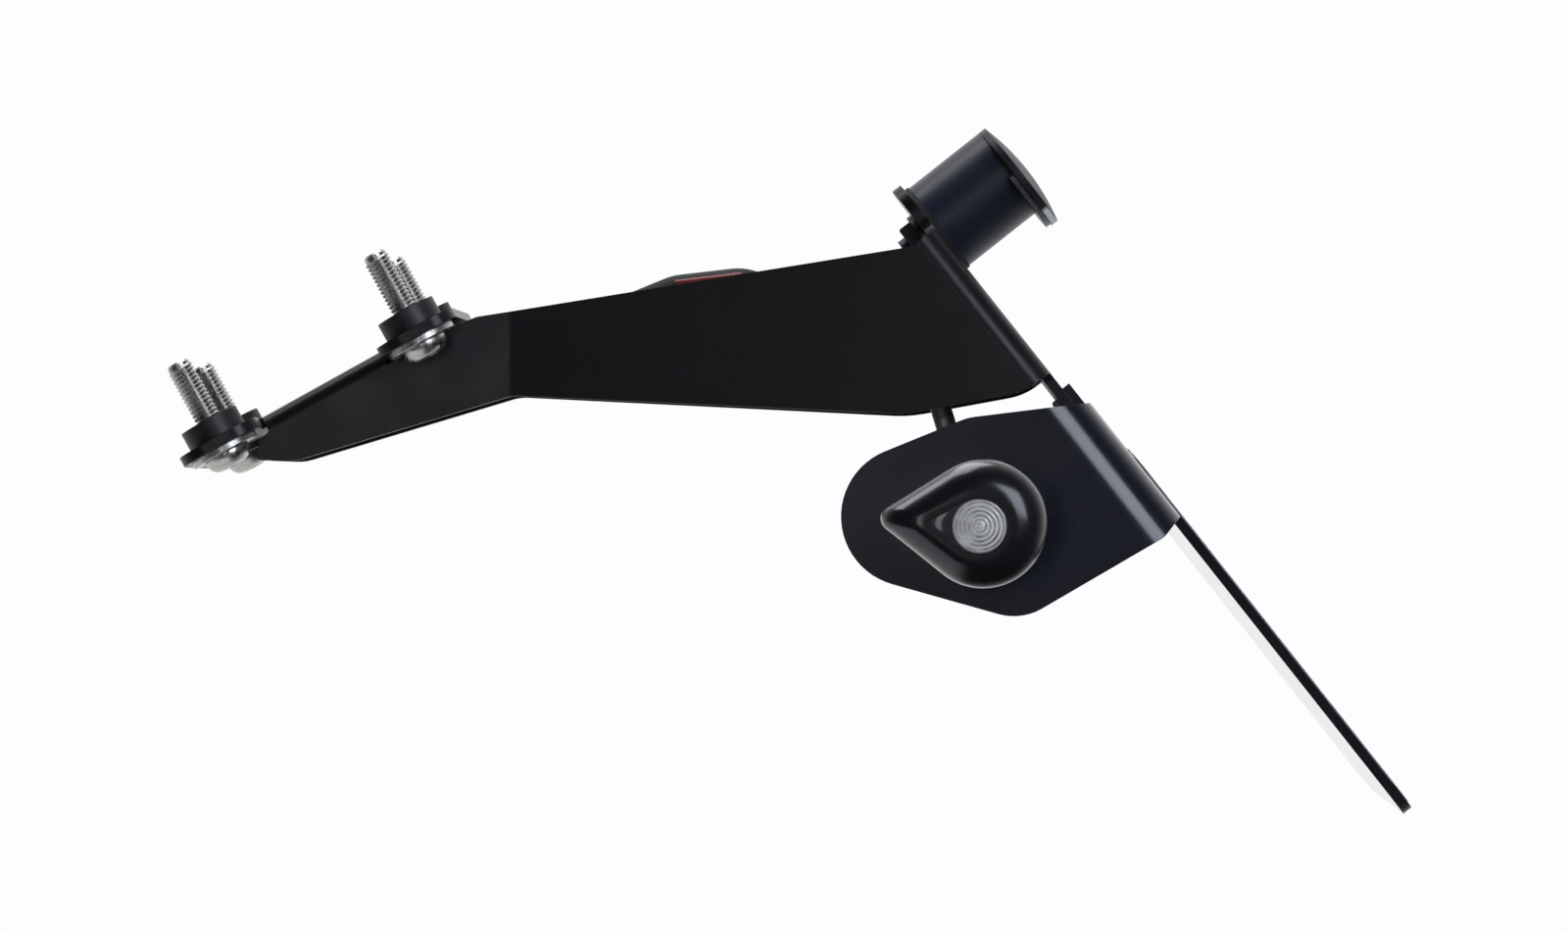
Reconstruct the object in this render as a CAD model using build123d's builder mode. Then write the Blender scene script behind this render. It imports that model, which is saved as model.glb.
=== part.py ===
from build123d import *
from math import cos, radians, sin, sqrt, tan
import os

os.makedirs("parts", exist_ok=True)

# Frame: +X to the rear, +Y to the right, +Z up as fitted, in millimetres.
# The origin is the centre of the four mounting bolts, on the plane of the spacers' tops.

# Fits, all on the radius or on one side
thread_gap = 0.05  # nut bore over its thread
fit_gap = 0.1  # parts that slide into each other
bolt_gap = 0.4  # clearance hole over its bolt

# Folded sheet
sheet = 3.0
wing_sheet = 2.5
inner_bend = 3.5  # inside radius of the rear folds of the main bracket
web_bend = 1.5  # inside radius of the folds under the mounting web
wing_bend = 9.5  # inside radius of the wing folds
relief = 1.5  # width of the cuts at the ends of the web folds

# Mounting web and its hardware
mount_slope = 29.0  # degrees, the web rises to the rear
bolt_pitch = 66.0  # square pattern
bolt_r = 4.0
bolt_thread_r = 3.9
bolt_stand = 19.2  # thread that stands out of the spacers
bolt_chamfer = 0.8
head_r = 7.0
head_height = 4.4
socket_flats = 5.0
washer_r = 10.5
washer_height = 1.8
spacer_r = 9.0
spacer_height = 6.0
ear_width = 25.0
ear_tip = 12.0  # bolt axis to the end of an ear
ear_reach = bolt_pitch / 2 + ear_tip  # middle plane to the end of an ear
ear_corner = 8.0
web_half = 20.0  # middle plane to the outside of a side wall at the web
fold_half = 20.0  # half length of the folds under the web
web_low = -spacer_height - sheet  # underside of the web, along the mount normal

# Side walls
bend_x = 58.5  # where the walls start to flare outward
flare = 8.0  # degrees
flare_bend = 12.0
# Corners of the walls in the side view; the front ones are set out from the folds of the web
toe_forward, toe_drop, toe_r = 9.1, 6.4, 2.0
chin_back, chin_drop, chin_r = 2.0, 13.1, 15.0
neck_back, neck_drop, neck_r = 4.4, 2.0, 4.0
belly_x, belly_z, belly_r = 59.6, -8.7, 12.0
heel_x, heel_z, heel_r = 175.7, -14.3, 40.0
fold_corner_r = 5.0  # top end of the rear fold
fold_heel_r = 20.0  # bottom end of the rear fold

# Rear face, measured along its slope from the lamp axis
rear_slope = 51.7  # degrees, the face drops to the rear
rear_distance = 169.5  # origin to the plane of the rear face
lamp_drop = 82.0  # foot of that distance down to the lamp axis
fold_top = 0.7
fold_bottom = 54.7
fold_flat = 9.0  # length of edge square to the rear face at each end of the fold
tab_corner = 10.0
tongue_half = 30.0
tongue_margin = 10.0  # plate screws to the end of the tongue
tongue_corner = 6.0
tab_root_r = 5.4
tongue_root_r = 2.4

# Indicator bracket
strip_tab_half = 28.0
strip_drop = 5.8  # lower end of the fold to the top of the strip's tab
strip_height = 23.5
stud_inset = 7.5
strip_tab_top = fold_bottom + strip_drop
strip_low = strip_tab_top + strip_height
stud_down = strip_tab_top + stud_inset
stud_side = 18.0
stud_r = 3.0
stud_length = 13.5
stud_slot = 14.0
small_washer_r = 6.2
small_washer_height = 1.6
small_nut_flats = 10.0
small_nut_height = 5.0

# Number plate
plate_width = 210.0
plate_height = 130.0
plate_thickness = 3.0
plate_corner = 10.0
plate_gap = 1.7  # lower edge of the strip to the plate
plate_side_gap = 2.5  # side of the plate to the strip
plate_top = strip_low + plate_gap
plate_centre = plate_top + plate_height / 2
face_margin = 2.0
face_thickness = 0.3
screw_inset = 12.3
screw_down = plate_top + screw_inset
screw_side = 20.0
screw_r = 2.5
screw_head_r = 4.9
screw_head_height = 2.4
screw_length = 13.0
screw_socket_flats = 3.0
screw_socket_depth = 1.8
screw_washer_r = 5.2
screw_nut_flats = 8.0
screw_nut_height = 4.0

# Number plate lamp, heights measured from the rear face
lamp_r = 14.5
lamp_wall = 2.0
gasket_height = 1.5
lamp_height = 28.0
lamp_stud_r = 4.0
lamp_stud_end = 11.0
tab_side, tab_rise = 3.5, 2.0  # lamp to the edge of its tab
tab_half = lamp_r + tab_side
tab_top = lamp_r + tab_rise
hood_drop = 2.95  # the hood is flush with the housing at the top and overhangs at the bottom
hood_r = lamp_r + hood_drop
hood_rim = 2.2
hood_rise = 4.5
hood_cap = hood_rise - hood_rim  # height of its domed top
hood_lip = 1.2  # wall around the pocket for the light chips
glow_depth = 1.2  # depth of that pocket
glow_top = -4.0  # its upper end, along the rear face from the lamp axis
glow_gap = 0.3  # pocket to the housing
lamp_lens_height = 1.6
lamp_lens_inset = 0.5  # hood edge to lens edge
lamp_lens_top = -2.0
chip_length, chip_width, chip_height = 2.4, 1.4, 0.8
chip_count = 3
chip_spread = 22.0  # degrees between chips
chip_overhang = 2.7  # housing to the middle of a chip
chip_ring_r = lamp_r + chip_overhang
lamp_washer_r = 8.0
lamp_nut_flats = 13.0
lamp_nut_height = 4.0

# Indicators: round end of the housing in the side view, the rest set out from its centre
round_x, round_z, round_r = 198.4, -46.0, 17.9
tip_forward, tip_rise, tip_r = 24.6, 1.4, 3.75
lens_back = 3.6  # front edge of the rear lens
window_forward, window_drop, window_r = 0.9, 0.7, 7.8
window_tip_forward, window_tip_rise, window_tip_r = 13.9, 0.4, 1.0
bulb_back = 3.6
stem_forward, stem_rise = 4.4, 0.5
# Widths of the indicator, outward from the wing
boot_height = 6.0
pod_width = 39.0
pod_wall = 2.0
pod_cap = 2.5
pod_dome = 9.0  # height of the rounded outer end
dome_turns = (0, 18, 36, 54, 72, 90)  # degrees round the dome where its sections lie
crown_margin = 1.5  # window to the edge of the flat crown of the dome
lens_inset = 5.0  # lens to each end of the straight part of the housing
lens_wall = 1.8
holder_height = 10.0
holder_r = 5.5
bulb_length = 16.0
bulb_r = 4.2
mirror_depth = 5.4
mirror_r = round_r - mirror_depth
mirror_wall = 1.0
boot_r = 13.0
boot_neck_r = 10.0
stem_r = 5.0
stem_washer_r = 10.0
stem_washer_height = 1.5
stem_nut_flats = 17.0
stem_nut_height = 5.0
stem_spare = 3.0  # thread beyond the nut

# Wings of the indicator bracket; the front corners are set out from the stem axis
wing_margin = 12.5  # cut-out for the plate to the outside of a wing
nose_forward, nose_drop, nose_r = 76.8, 2.0, 19.8
low_back, low_drop, low_r = 15.1, 27.9, 16.0
shoulder_rise, shoulder_r = 29.2, 15.0
# The rear corners are set out down the rear face
wing_top_down = 73.0
wing_back_down = 108.5
wing_beyond = 8.8
wing_heel_down, wing_heel_in, wing_heel_r = 111.7, 4.9, 5.0

# Wiring
lead_r = 3.0
lead_bend = 9.0
lead_depth = 4.0  # length of lead inside the hollow stem
lead_straight = 20.0  # length of lead out of the stem before the first bend
lead_pass_back, lead_pass_side, lead_pass_drop = 11.8, 30.0, 4.2  # from the heel of the walls
lead_side = 4.2  # sleeve axis to a lead, sideways
lead_drop = 2.5  # sleeve axis to a lead, downward
lead_run = 20.0  # length of the leads behind the sleeve
lamp_lead_r = 2.0
lamp_lead_bend = 5.0
lamp_lead_straight = 4.0  # out of the hollow stud before the first bend
lamp_lead_run = 11.0  # length of the lamp lead behind the sleeve
lamp_lead_rise = 4.0  # sleeve axis to the lamp lead, upward
sleeve_r = 8.0
sleeve_length = 14.0
sleeve_forward, sleeve_below = 27.8, 19.7  # rear end of the sleeve, from the lamp axis
sleeve_edge = 1.0
loom_r = 5.0
loom_bend = 12.0
loom_straight = 6.0  # in front of the sleeve before the loom climbs
loom_crest_rear, loom_crest_front = (15.0, 3.7), (35.0, 1.4)  # forward of the sleeve and above it
loom_dip = (58.0, -8.0)
wire_r = 1.25
wire_length = 20.0
wire_turn = 20.0  # degrees above the side of the loom
plug_front = -12.0  # along the web
plug_rear = 16.0
plug_width = 18.0
plug_height = 12.5
plug_edge = 1.5
plug_pitch = 4.6
plug_way = 2.6  # square holes of the contacts
plug_depth = 9.0
clip_along = 30.0
clip_wall = 1.4
clip_width = 10.0
clip_foot = web_half - sheet - web_bend  # middle plane to the end of its foot
clip_screw_inset = 4.7
clip_screw_side = clip_foot - clip_screw_inset
clip_screw_r = 2.0
clip_head_r = 3.8
clip_head_height = 2.2
clip_screw_spare = 1.0  # thread beyond the nut
clip_nut_flats = 7.0
clip_nut_height = 3.2

mount_cos, mount_sin = cos(radians(mount_slope)), sin(radians(mount_slope))
rear_cos, rear_sin = cos(radians(rear_slope)), sin(radians(rear_slope))
lamp_x = rear_distance * rear_sin + lamp_drop * rear_cos
lamp_z = rear_distance * rear_cos - lamp_drop * rear_sin
tongue_end = screw_down + tongue_margin
gap_half = plate_width / 2 + plate_side_gap  # half width of the cut-out for the plate
wing_half = gap_half + wing_margin  # middle plane to the outside of a wing
wing_inside = wing_half - wing_sheet
pod_root = wing_half + boot_height
pod_end = pod_root + pod_width
pod_shoulder = pod_end - pod_dome  # where the rounding starts
stem_end = wing_inside - stem_washer_height - stem_nut_height - stem_spare
stem_x, stem_z = round_x - stem_forward, round_z + stem_rise
tip_x, tip_z = round_x - tip_forward, round_z + tip_rise
window_x, window_z = round_x - window_forward, round_z - window_drop
window_tip_x, window_tip_z = round_x - window_tip_forward, round_z + window_tip_rise
bulb_x, bulb_z = round_x + bulb_back, round_z
sleeve_rear = lamp_x - sleeve_forward
sleeve_front = sleeve_rear - sleeve_length
sleeve_z = lamp_z - sleeve_below

mount = Plane((0, 0, 0), x_dir=(mount_cos, 0, mount_sin), z_dir=(-mount_sin, 0, mount_cos))
# Local axes of the rear face: across, up its slope, outward
rear = Plane((lamp_x, 0, lamp_z), x_dir=(0, 1, 0), z_dir=(rear_sin, 0, rear_cos))
# Section through the wing folds: across, outward, with its normal down the slope
section = Plane((lamp_x, 0, lamp_z), x_dir=(0, 1, 0), z_dir=(rear_cos, 0, -rear_sin))


def at_mount(along, up):
    """Side-view point at a distance along the mounting plane and above it."""
    return (along * mount_cos - up * mount_sin, along * mount_sin + up * mount_cos)


def at_rear(down, out):
    """Side-view point at a distance down the rear face and out of it."""
    return (lamp_x + down * rear_cos + out * rear_sin, lamp_z - down * rear_sin + out * rear_cos)


def wall_half(x):
    """Half width over the outsides of the flared side walls."""
    return web_half + (x - bend_x) * tan(radians(flare))


def side_plane(half):
    """Plane of the side view at a distance to the left of the middle plane."""
    return Plane.XZ.offset(half)


def corner(sketch, point):
    """The corner of a sketch that lies nearest to a point of its plane."""
    return sketch.vertices().sort_by_distance((*point, 0))[0]


def hex_nut(flats, height, thread_r):
    """Hexagon nut standing on its plane, with chamfered corners."""
    with BuildPart() as nut:
        with BuildSketch():
            RegularPolygon(flats / 2, 6, major_radius=False)
            Circle(thread_r + thread_gap, mode=Mode.SUBTRACT)
        extrude(amount=height)
        chamfer(nut.edges().filter_by(GeomType.LINE).group_by(Axis.Z)[-1], height * 0.1)
    return nut.part


def washer(outer_r, hole_r, height):
    """Flat ring standing on its plane."""
    with BuildPart() as ring:
        with BuildSketch():
            Circle(outer_r)
            Circle(hole_r, mode=Mode.SUBTRACT)
        extrude(amount=height)
    return ring.part


def cable(points, bend, radius):
    """Round cable along straight runs joined by tangent bends."""
    with BuildPart() as run:
        with BuildLine() as route:
            FilletPolyline(*points, radius=bend)
        with BuildSketch(route.line ^ 0):
            Circle(radius)
        sweep()
    return run.part


def between(start, end, share):
    """Value at a share of the way from one to another."""
    return start + share * (end - start)


def pod_form(inset):
    """Body of an indicator drawn in by a distance: a straight part and a domed outer end."""
    with BuildPart() as form:
        with BuildSketch(side_plane(pod_root + inset)):
            with Locations((round_x, round_z)):
                Circle(round_r - inset)
            with Locations((tip_x, tip_z)):
                Circle(tip_r - inset)
            make_hull()
        extrude(amount=pod_shoulder - pod_root - inset)
        for turn in dome_turns:
            share = 1 - cos(radians(turn))
            with BuildSketch(side_plane(pod_shoulder + (pod_dome - inset) * sin(radians(turn)))):
                with Locations((between(round_x, window_x, share), between(round_z, window_z, share))):
                    Circle(between(round_r, window_r + crown_margin, share) - inset)
                with Locations((between(tip_x, window_tip_x, share), between(tip_z, window_tip_z, share))):
                    Circle(between(tip_r, window_tip_r + crown_margin, share) - inset)
                make_hull()
        loft()
    return form.part


# Channel: two flared walls cut to the side outline, folded into the rear face
fold_end = bolt_pitch / 2 + ear_width / 2  # rear edge of the web
wall_toe = at_mount(-fold_half - toe_forward, web_low - toe_drop)
wall_chin = at_mount(-fold_half + chin_back, web_low - chin_drop)
wall_neck = at_mount(fold_end + neck_back, web_low - neck_drop)
wall_belly = (belly_x, belly_z)
wall_heel = (heel_x, heel_z)
band_start = wall_toe[0] - sheet
band_end = at_rear(fold_bottom, 0)[0] + sheet
band_low, band_high = wall_chin[1] - sheet, lamp_z + sheet
inner_kink = bend_x + sheet * tan(radians(flare / 2))
band_step = sheet / cos(radians(flare))
with BuildPart() as channel:
    with BuildSketch(Plane.XY.offset(band_low)) as band:
        with BuildLine():
            Polyline(
                (band_start, -web_half),
                (bend_x, -web_half),
                (band_end, -wall_half(band_end)),
                (band_end, -wall_half(band_end) + band_step),
                (inner_kink, -web_half + sheet),
                (band_start, -web_half + sheet),
                close=True,
            )
        make_face()
        fillet(corner(band, (bend_x, -web_half)), flare_bend)
        fillet(corner(band, (inner_kink, -web_half + sheet)), flare_bend + sheet)
        mirror(about=Plane.XZ)
    extrude(amount=band_high - band_low)
    with BuildSketch(Plane.XZ) as outline:
        with BuildLine():
            Polyline(
                at_mount(-fold_half, -spacer_height),
                at_mount(-fold_half, web_low - relief),
                wall_toe,
                wall_chin,
                wall_belly,
                wall_heel,
                at_rear(fold_bottom, -fold_flat),
                at_rear(fold_bottom, 0),
                at_rear(fold_top, 0),
                at_rear(fold_top, -fold_flat),
                wall_neck,
                at_mount(fold_end, web_low - relief),
                at_mount(fold_half, web_low - relief),
                at_mount(fold_half, -spacer_height),
                close=True,
            )
        make_face()
        fillet(corner(outline, wall_toe), toe_r)
        fillet(corner(outline, wall_chin), chin_r)
        fillet(corner(outline, wall_belly), belly_r)
        fillet(corner(outline, wall_heel), heel_r)
        fillet(corner(outline, at_rear(fold_bottom, -fold_flat)), fold_heel_r)
        fillet(corner(outline, at_rear(fold_top, -fold_flat)), fold_corner_r)
        fillet(corner(outline, wall_neck), neck_r)
    extrude(amount=wall_half(band_end), both=True, mode=Mode.INTERSECT)
    with BuildSketch(rear):
        top_half = wall_half(at_rear(fold_top, 0)[0]) - band_step / 2
        bottom_half = wall_half(at_rear(fold_bottom, 0)[0]) - band_step / 2
        Polygon(
            (-top_half, -fold_top),
            (top_half, -fold_top),
            (bottom_half, -fold_bottom),
            (-bottom_half, -fold_bottom),
            align=None,
        )
    extrude(amount=-sheet)
    fold_x, fold_z = at_rear((fold_top + fold_bottom) / 2, 0)
    inside_x, inside_z = at_rear((fold_top + fold_bottom) / 2, -sheet)
    for side in (-1, 1):
        spot = (inside_x, side * (wall_half(inside_x) - band_step), inside_z)
        fillet(channel.edges().sort_by_distance(spot)[0], inner_bend)
        spot = (fold_x, side * wall_half(fold_x), fold_z)
        fillet(channel.edges().sort_by_distance(spot)[0], inner_bend + sheet)

with BuildPart() as main_bracket:
    with BuildSketch(mount.offset(-spacer_height)):
        Rectangle(bolt_pitch + ear_width, 2 * web_half)
        with Locations((bolt_pitch / 2, 0), (-bolt_pitch / 2, 0)):
            RectangleRounded(ear_width, 2 * ear_reach, ear_corner)
        with GridLocations(2 * fold_half + relief, 2 * web_half, 2, 2):
            Rectangle(relief, 4 * sheet, mode=Mode.SUBTRACT)
        with GridLocations(bolt_pitch, bolt_pitch, 2, 2):
            Circle(bolt_r + bolt_gap, mode=Mode.SUBTRACT)
        with Locations((clip_along, clip_screw_side)):
            Circle(clip_screw_r + bolt_gap, mode=Mode.SUBTRACT)
    extrude(amount=-sheet)
    add(channel.part)
    with BuildSketch(rear) as back:
        with BuildLine():
            Polyline(
                (-tab_half, tab_top),
                (tab_half, tab_top),
                (tab_half, -fold_top),
                (tab_half + tongue_corner, -fold_top),
                (tongue_half + tongue_corner / 2, -fold_bottom),
                (tongue_half, -fold_bottom),
                (tongue_half, -tongue_end),
                (-tongue_half, -tongue_end),
                (-tongue_half, -fold_bottom),
                (-tongue_half - tongue_corner / 2, -fold_bottom),
                (-tab_half - tongue_corner, -fold_top),
                (-tab_half, -fold_top),
                close=True,
            )
        make_face()
        for side in (-1, 1):
            fillet(corner(back, (side * tab_half, tab_top)), tab_corner)
            fillet(corner(back, (side * tab_half, -fold_top)), tab_root_r)
            fillet(corner(back, (side * tongue_half, -fold_bottom)), tongue_root_r)
            fillet(corner(back, (side * tongue_half, -tongue_end)), tongue_corner)
    extrude(amount=-sheet)
    with BuildSketch(rear):
        Circle(lamp_stud_r + bolt_gap)
        with Locations((-stud_side, -stud_down), (stud_side, -stud_down)):
            SlotOverall(stud_slot, 2 * (stud_r + bolt_gap), rotation=90)
        with Locations((-screw_side, -screw_down), (screw_side, -screw_down)):
            Circle(screw_r + bolt_gap)
    extrude(amount=-sheet, mode=Mode.SUBTRACT)
    web_x, web_z = at_mount(0, -spacer_height)
    under_x, under_z = at_mount(0, web_low)
    for side in (-1, 1):
        spot = (under_x, side * (web_half - sheet), under_z)
        fillet(main_bracket.edges().sort_by_distance(spot)[0], web_bend)
        spot = (web_x, side * web_half, web_z)
        fillet(main_bracket.edges().sort_by_distance(spot)[0], web_bend + sheet)

bolt_spots = [mount.offset(web_low) * spot for spot in GridLocations(bolt_pitch, bolt_pitch, 2, 2)]

bolt_grip = washer_height + sheet + spacer_height
with BuildPart() as button_bolt:
    with BuildSketch(Plane.XZ) as head_half:
        with BuildLine():
            low = Polyline((0, -head_height), (head_r * 0.45, -head_height))
            crown = (head_r * 0.86, -head_height * 0.62)
            dome = ThreePointArc(low @ 1, crown, (head_r, -head_height * 0.12))
            Polyline(dome @ 1, (head_r, 0), (0, 0), low @ 0)
        make_face()
    revolve(axis=Axis.Z)
    Cylinder(bolt_r, bolt_grip, align=(Align.CENTER, Align.CENTER, Align.MIN))
    with Locations((0, 0, bolt_grip)):
        Cylinder(bolt_thread_r, bolt_stand, align=(Align.CENTER, Align.CENTER, Align.MIN))
    chamfer(button_bolt.edges().group_by(Axis.Z)[-1], bolt_chamfer)
    with BuildSketch(Plane.XY.offset(-head_height)):
        RegularPolygon(socket_flats / 2, 6, major_radius=False)
    extrude(amount=head_height * 0.6, mode=Mode.SUBTRACT)

with BuildPart() as mounting_bolts:
    with Locations(*[spot * Location((0, 0, -washer_height)) for spot in bolt_spots]):
        add(button_bolt.part)

with BuildPart() as mounting_washers:
    with Locations(*[spot * Location((0, 0, -washer_height)) for spot in bolt_spots]):
        add(washer(washer_r, bolt_r + bolt_gap, washer_height))

with BuildPart() as mounting_spacers:
    with Locations(*[spot * Location((0, 0, sheet)) for spot in bolt_spots]):
        add(washer(spacer_r, bolt_r + bolt_gap, spacer_height))

# Indicator bracket: a folded band, cut to the outline of its wings
wing_nose = (stem_x - nose_forward, stem_z - nose_drop)
wing_shoulder = (stem_x, stem_z + shoulder_rise)
wing_top = at_rear(wing_top_down, wing_beyond)
wing_back = at_rear(wing_back_down, wing_beyond)
wing_heel = at_rear(wing_heel_down, -wing_heel_in)
wing_low = (stem_x + low_back, stem_z - low_drop)
with BuildPart() as indicator_bracket:
    with BuildSketch(section) as folds:
        with Locations((0, wing_sheet)):
            Rectangle(2 * wing_half, rear_distance, align=(Align.CENTER, Align.MAX))
        fillet(folds.vertices().group_by(Axis.Y)[-1], wing_bend + wing_sheet)
    extrude(amount=rear_distance)
    with BuildSketch(section) as hollow:
        Rectangle(2 * wing_inside, rear_distance, align=(Align.CENTER, Align.MAX))
        fillet(hollow.vertices().group_by(Axis.Y)[-1], wing_bend)
    extrude(amount=rear_distance, mode=Mode.SUBTRACT)
    with BuildSketch(Plane.XZ) as wing:
        with BuildLine():
            Polyline(wing_nose, wing_shoulder, wing_top, wing_back, wing_heel, wing_low, close=True)
        make_face()
        fillet(corner(wing, wing_nose), nose_r)
        fillet(corner(wing, wing_shoulder), shoulder_r)
        fillet(corner(wing, wing_heel), wing_heel_r)
        fillet(corner(wing, wing_low), low_r)
    extrude(amount=wing_half, both=True, mode=Mode.INTERSECT)
    with BuildSketch(rear):
        with Locations((0, -strip_tab_top)):
            Rectangle(2 * strip_tab_half, strip_height, align=(Align.CENTER, Align.MAX))
    extrude(amount=wing_sheet)
    with BuildSketch(rear.offset(-wing_bend)):
        with Locations((0, -strip_low)):
            Rectangle(2 * gap_half, plate_height, align=(Align.CENTER, Align.MAX))
    extrude(amount=2 * wing_bend, mode=Mode.SUBTRACT)
    with BuildSketch(side_plane(-wing_half)):
        with Locations((stem_x, stem_z)):
            Circle(stem_r + fit_gap)
    extrude(amount=2 * wing_half, mode=Mode.SUBTRACT)

stud_spots = [rear * Location((side * stud_side, -stud_down, 0)) for side in (-1, 1)]
front_face = Location((0, 0, -sheet), (180, 0, 0))
nut_face = Location((0, 0, -sheet - small_washer_height), (180, 0, 0))

with BuildPart() as bracket_studs:
    with Locations(*stud_spots):
        Cylinder(stud_r, stud_length, align=(Align.CENTER, Align.CENTER, Align.MAX))

with BuildPart() as bracket_washers:
    with Locations(*[spot * front_face for spot in stud_spots]):
        add(washer(small_washer_r, stud_r + fit_gap, small_washer_height))

with BuildPart() as bracket_nuts:
    with Locations(*[spot * nut_face for spot in stud_spots]):
        add(hex_nut(small_nut_flats, small_nut_height, stud_r))

# Number plate with countersunk screws
screw_sides = (-screw_side, screw_side)
screw_spots = [rear * Location((side, -screw_down, plate_thickness)) for side in screw_sides]
with BuildPart() as plate_screw:
    with BuildSketch(Plane.XZ):
        Polygon(
            (0, 0),
            (screw_head_r, 0),
            (screw_r, -screw_head_height),
            (screw_r, -screw_length),
            (0, -screw_length),
            align=None,
        )
    revolve(axis=Axis.Z)
    with BuildSketch():
        RegularPolygon(screw_socket_flats / 2, 6, major_radius=False)
    extrude(amount=-screw_socket_depth, mode=Mode.SUBTRACT)

with BuildPart() as screw_clearance:
    with BuildSketch(Plane.XZ):
        Polygon(
            (0, 0),
            (screw_head_r + fit_gap, 0),
            (screw_r + bolt_gap, -screw_head_height + bolt_gap - fit_gap),
            (screw_r + bolt_gap, -plate_thickness),
            (0, -plate_thickness),
            align=None,
        )
    revolve(axis=Axis.Z)

with BuildPart() as number_plate:
    with BuildSketch(rear):
        with Locations((0, -plate_centre)):
            RectangleRounded(plate_width, plate_height, plate_corner)
    extrude(amount=plate_thickness)
    with Locations(*screw_spots):
        add(screw_clearance.part, mode=Mode.SUBTRACT)

with BuildPart() as plate_face:
    with BuildSketch(rear.offset(plate_thickness)):
        with Locations((0, -plate_centre)):
            RectangleRounded(
                plate_width - 2 * face_margin,
                plate_height - 2 * face_margin,
                plate_corner - face_margin,
            )
        with Locations((-screw_side, -screw_down), (screw_side, -screw_down)):
            Circle(screw_head_r + bolt_gap, mode=Mode.SUBTRACT)
    extrude(amount=face_thickness)

with BuildPart() as plate_screws:
    with Locations(*screw_spots):
        add(plate_screw.part)

screw_front = Location((0, 0, -plate_thickness - sheet), (180, 0, 0))
screw_nut_face = Location((0, 0, -plate_thickness - sheet - small_washer_height), (180, 0, 0))
with BuildPart() as plate_washers:
    with Locations(*[spot * screw_front for spot in screw_spots]):
        add(washer(screw_washer_r, screw_r + fit_gap, small_washer_height))

with BuildPart() as plate_nuts:
    with Locations(*[spot * screw_nut_face for spot in screw_spots]):
        add(hex_nut(screw_nut_flats, screw_nut_height, screw_r))

# Number plate lamp
with BuildPart() as lamp_gasket:
    with BuildSketch(rear):
        Circle(lamp_r + bolt_gap)
        Circle(lamp_stud_r + fit_gap, mode=Mode.SUBTRACT)
    extrude(amount=gasket_height)

with BuildPart() as lamp_housing:
    with BuildSketch(rear.offset(gasket_height)):
        Circle(lamp_r)
    extrude(amount=lamp_height - gasket_height)
    with BuildSketch(rear.offset(gasket_height + lamp_wall)):
        Circle(lamp_r - lamp_wall)
    extrude(amount=lamp_height - gasket_height - lamp_wall, mode=Mode.SUBTRACT)
    with BuildSketch(rear.offset(gasket_height)):
        Circle(lamp_stud_r)
    extrude(amount=-gasket_height - lamp_stud_end)
    with BuildSketch(rear.offset(-lamp_stud_end)):
        Circle(lamp_lead_r + fit_gap)
    extrude(amount=lamp_stud_end + gasket_height + lamp_wall, mode=Mode.SUBTRACT)

hood_base = rear.offset(lamp_height)
hood_spot = hood_base * Location((0, -hood_drop, 0))
dome_r = (hood_r**2 + hood_cap**2) / (2 * hood_cap)
with BuildPart() as hood_blank:
    with BuildSketch(Plane.XZ):
        with BuildLine():
            edge = Polyline((0, 0), (hood_r, 0), (hood_r, hood_rim))
            middle = (hood_r / 2, hood_rise - dome_r + sqrt(dome_r**2 - hood_r**2 / 4))
            dome = ThreePointArc(edge @ 1, middle, (0, hood_rise))
            Line(dome @ 1, edge @ 0)
        make_face()
    revolve(axis=Axis.Z)

with BuildPart() as lamp_hood:
    with Locations(hood_spot):
        add(hood_blank.part)
    with BuildSketch(hood_base):
        with Locations((0, -hood_drop)):
            Circle(hood_r - hood_lip)
        Circle(lamp_r + glow_gap, mode=Mode.SUBTRACT)
        with Locations((0, glow_top)):
            Rectangle(4 * hood_r, 4 * hood_r, align=(Align.CENTER, Align.MIN), mode=Mode.SUBTRACT)
    extrude(amount=glow_depth, mode=Mode.SUBTRACT)

with BuildPart() as lamp_lens:
    with BuildSketch(hood_base):
        with Locations((0, -hood_drop)):
            Circle(hood_r - lamp_lens_inset)
        Circle(lamp_r + fit_gap, mode=Mode.SUBTRACT)
        with Locations((0, lamp_lens_top)):
            Rectangle(4 * hood_r, 4 * hood_r, align=(Align.CENTER, Align.MIN), mode=Mode.SUBTRACT)
    extrude(amount=-lamp_lens_height)

with BuildPart() as lamp_chips:
    with BuildSketch(hood_base.offset(glow_depth)):
        with PolarLocations(chip_ring_r, chip_count, -90 - chip_spread, 2 * chip_spread, endpoint=True):
            Rectangle(chip_width, chip_length)
    extrude(amount=-chip_height)

with BuildPart() as lamp_washer:
    with Locations(rear * front_face):
        add(washer(lamp_washer_r, lamp_stud_r + fit_gap, small_washer_height))

with BuildPart() as lamp_nut:
    with Locations(rear * nut_face):
        add(hex_nut(lamp_nut_flats, lamp_nut_height, lamp_stud_r))

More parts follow.
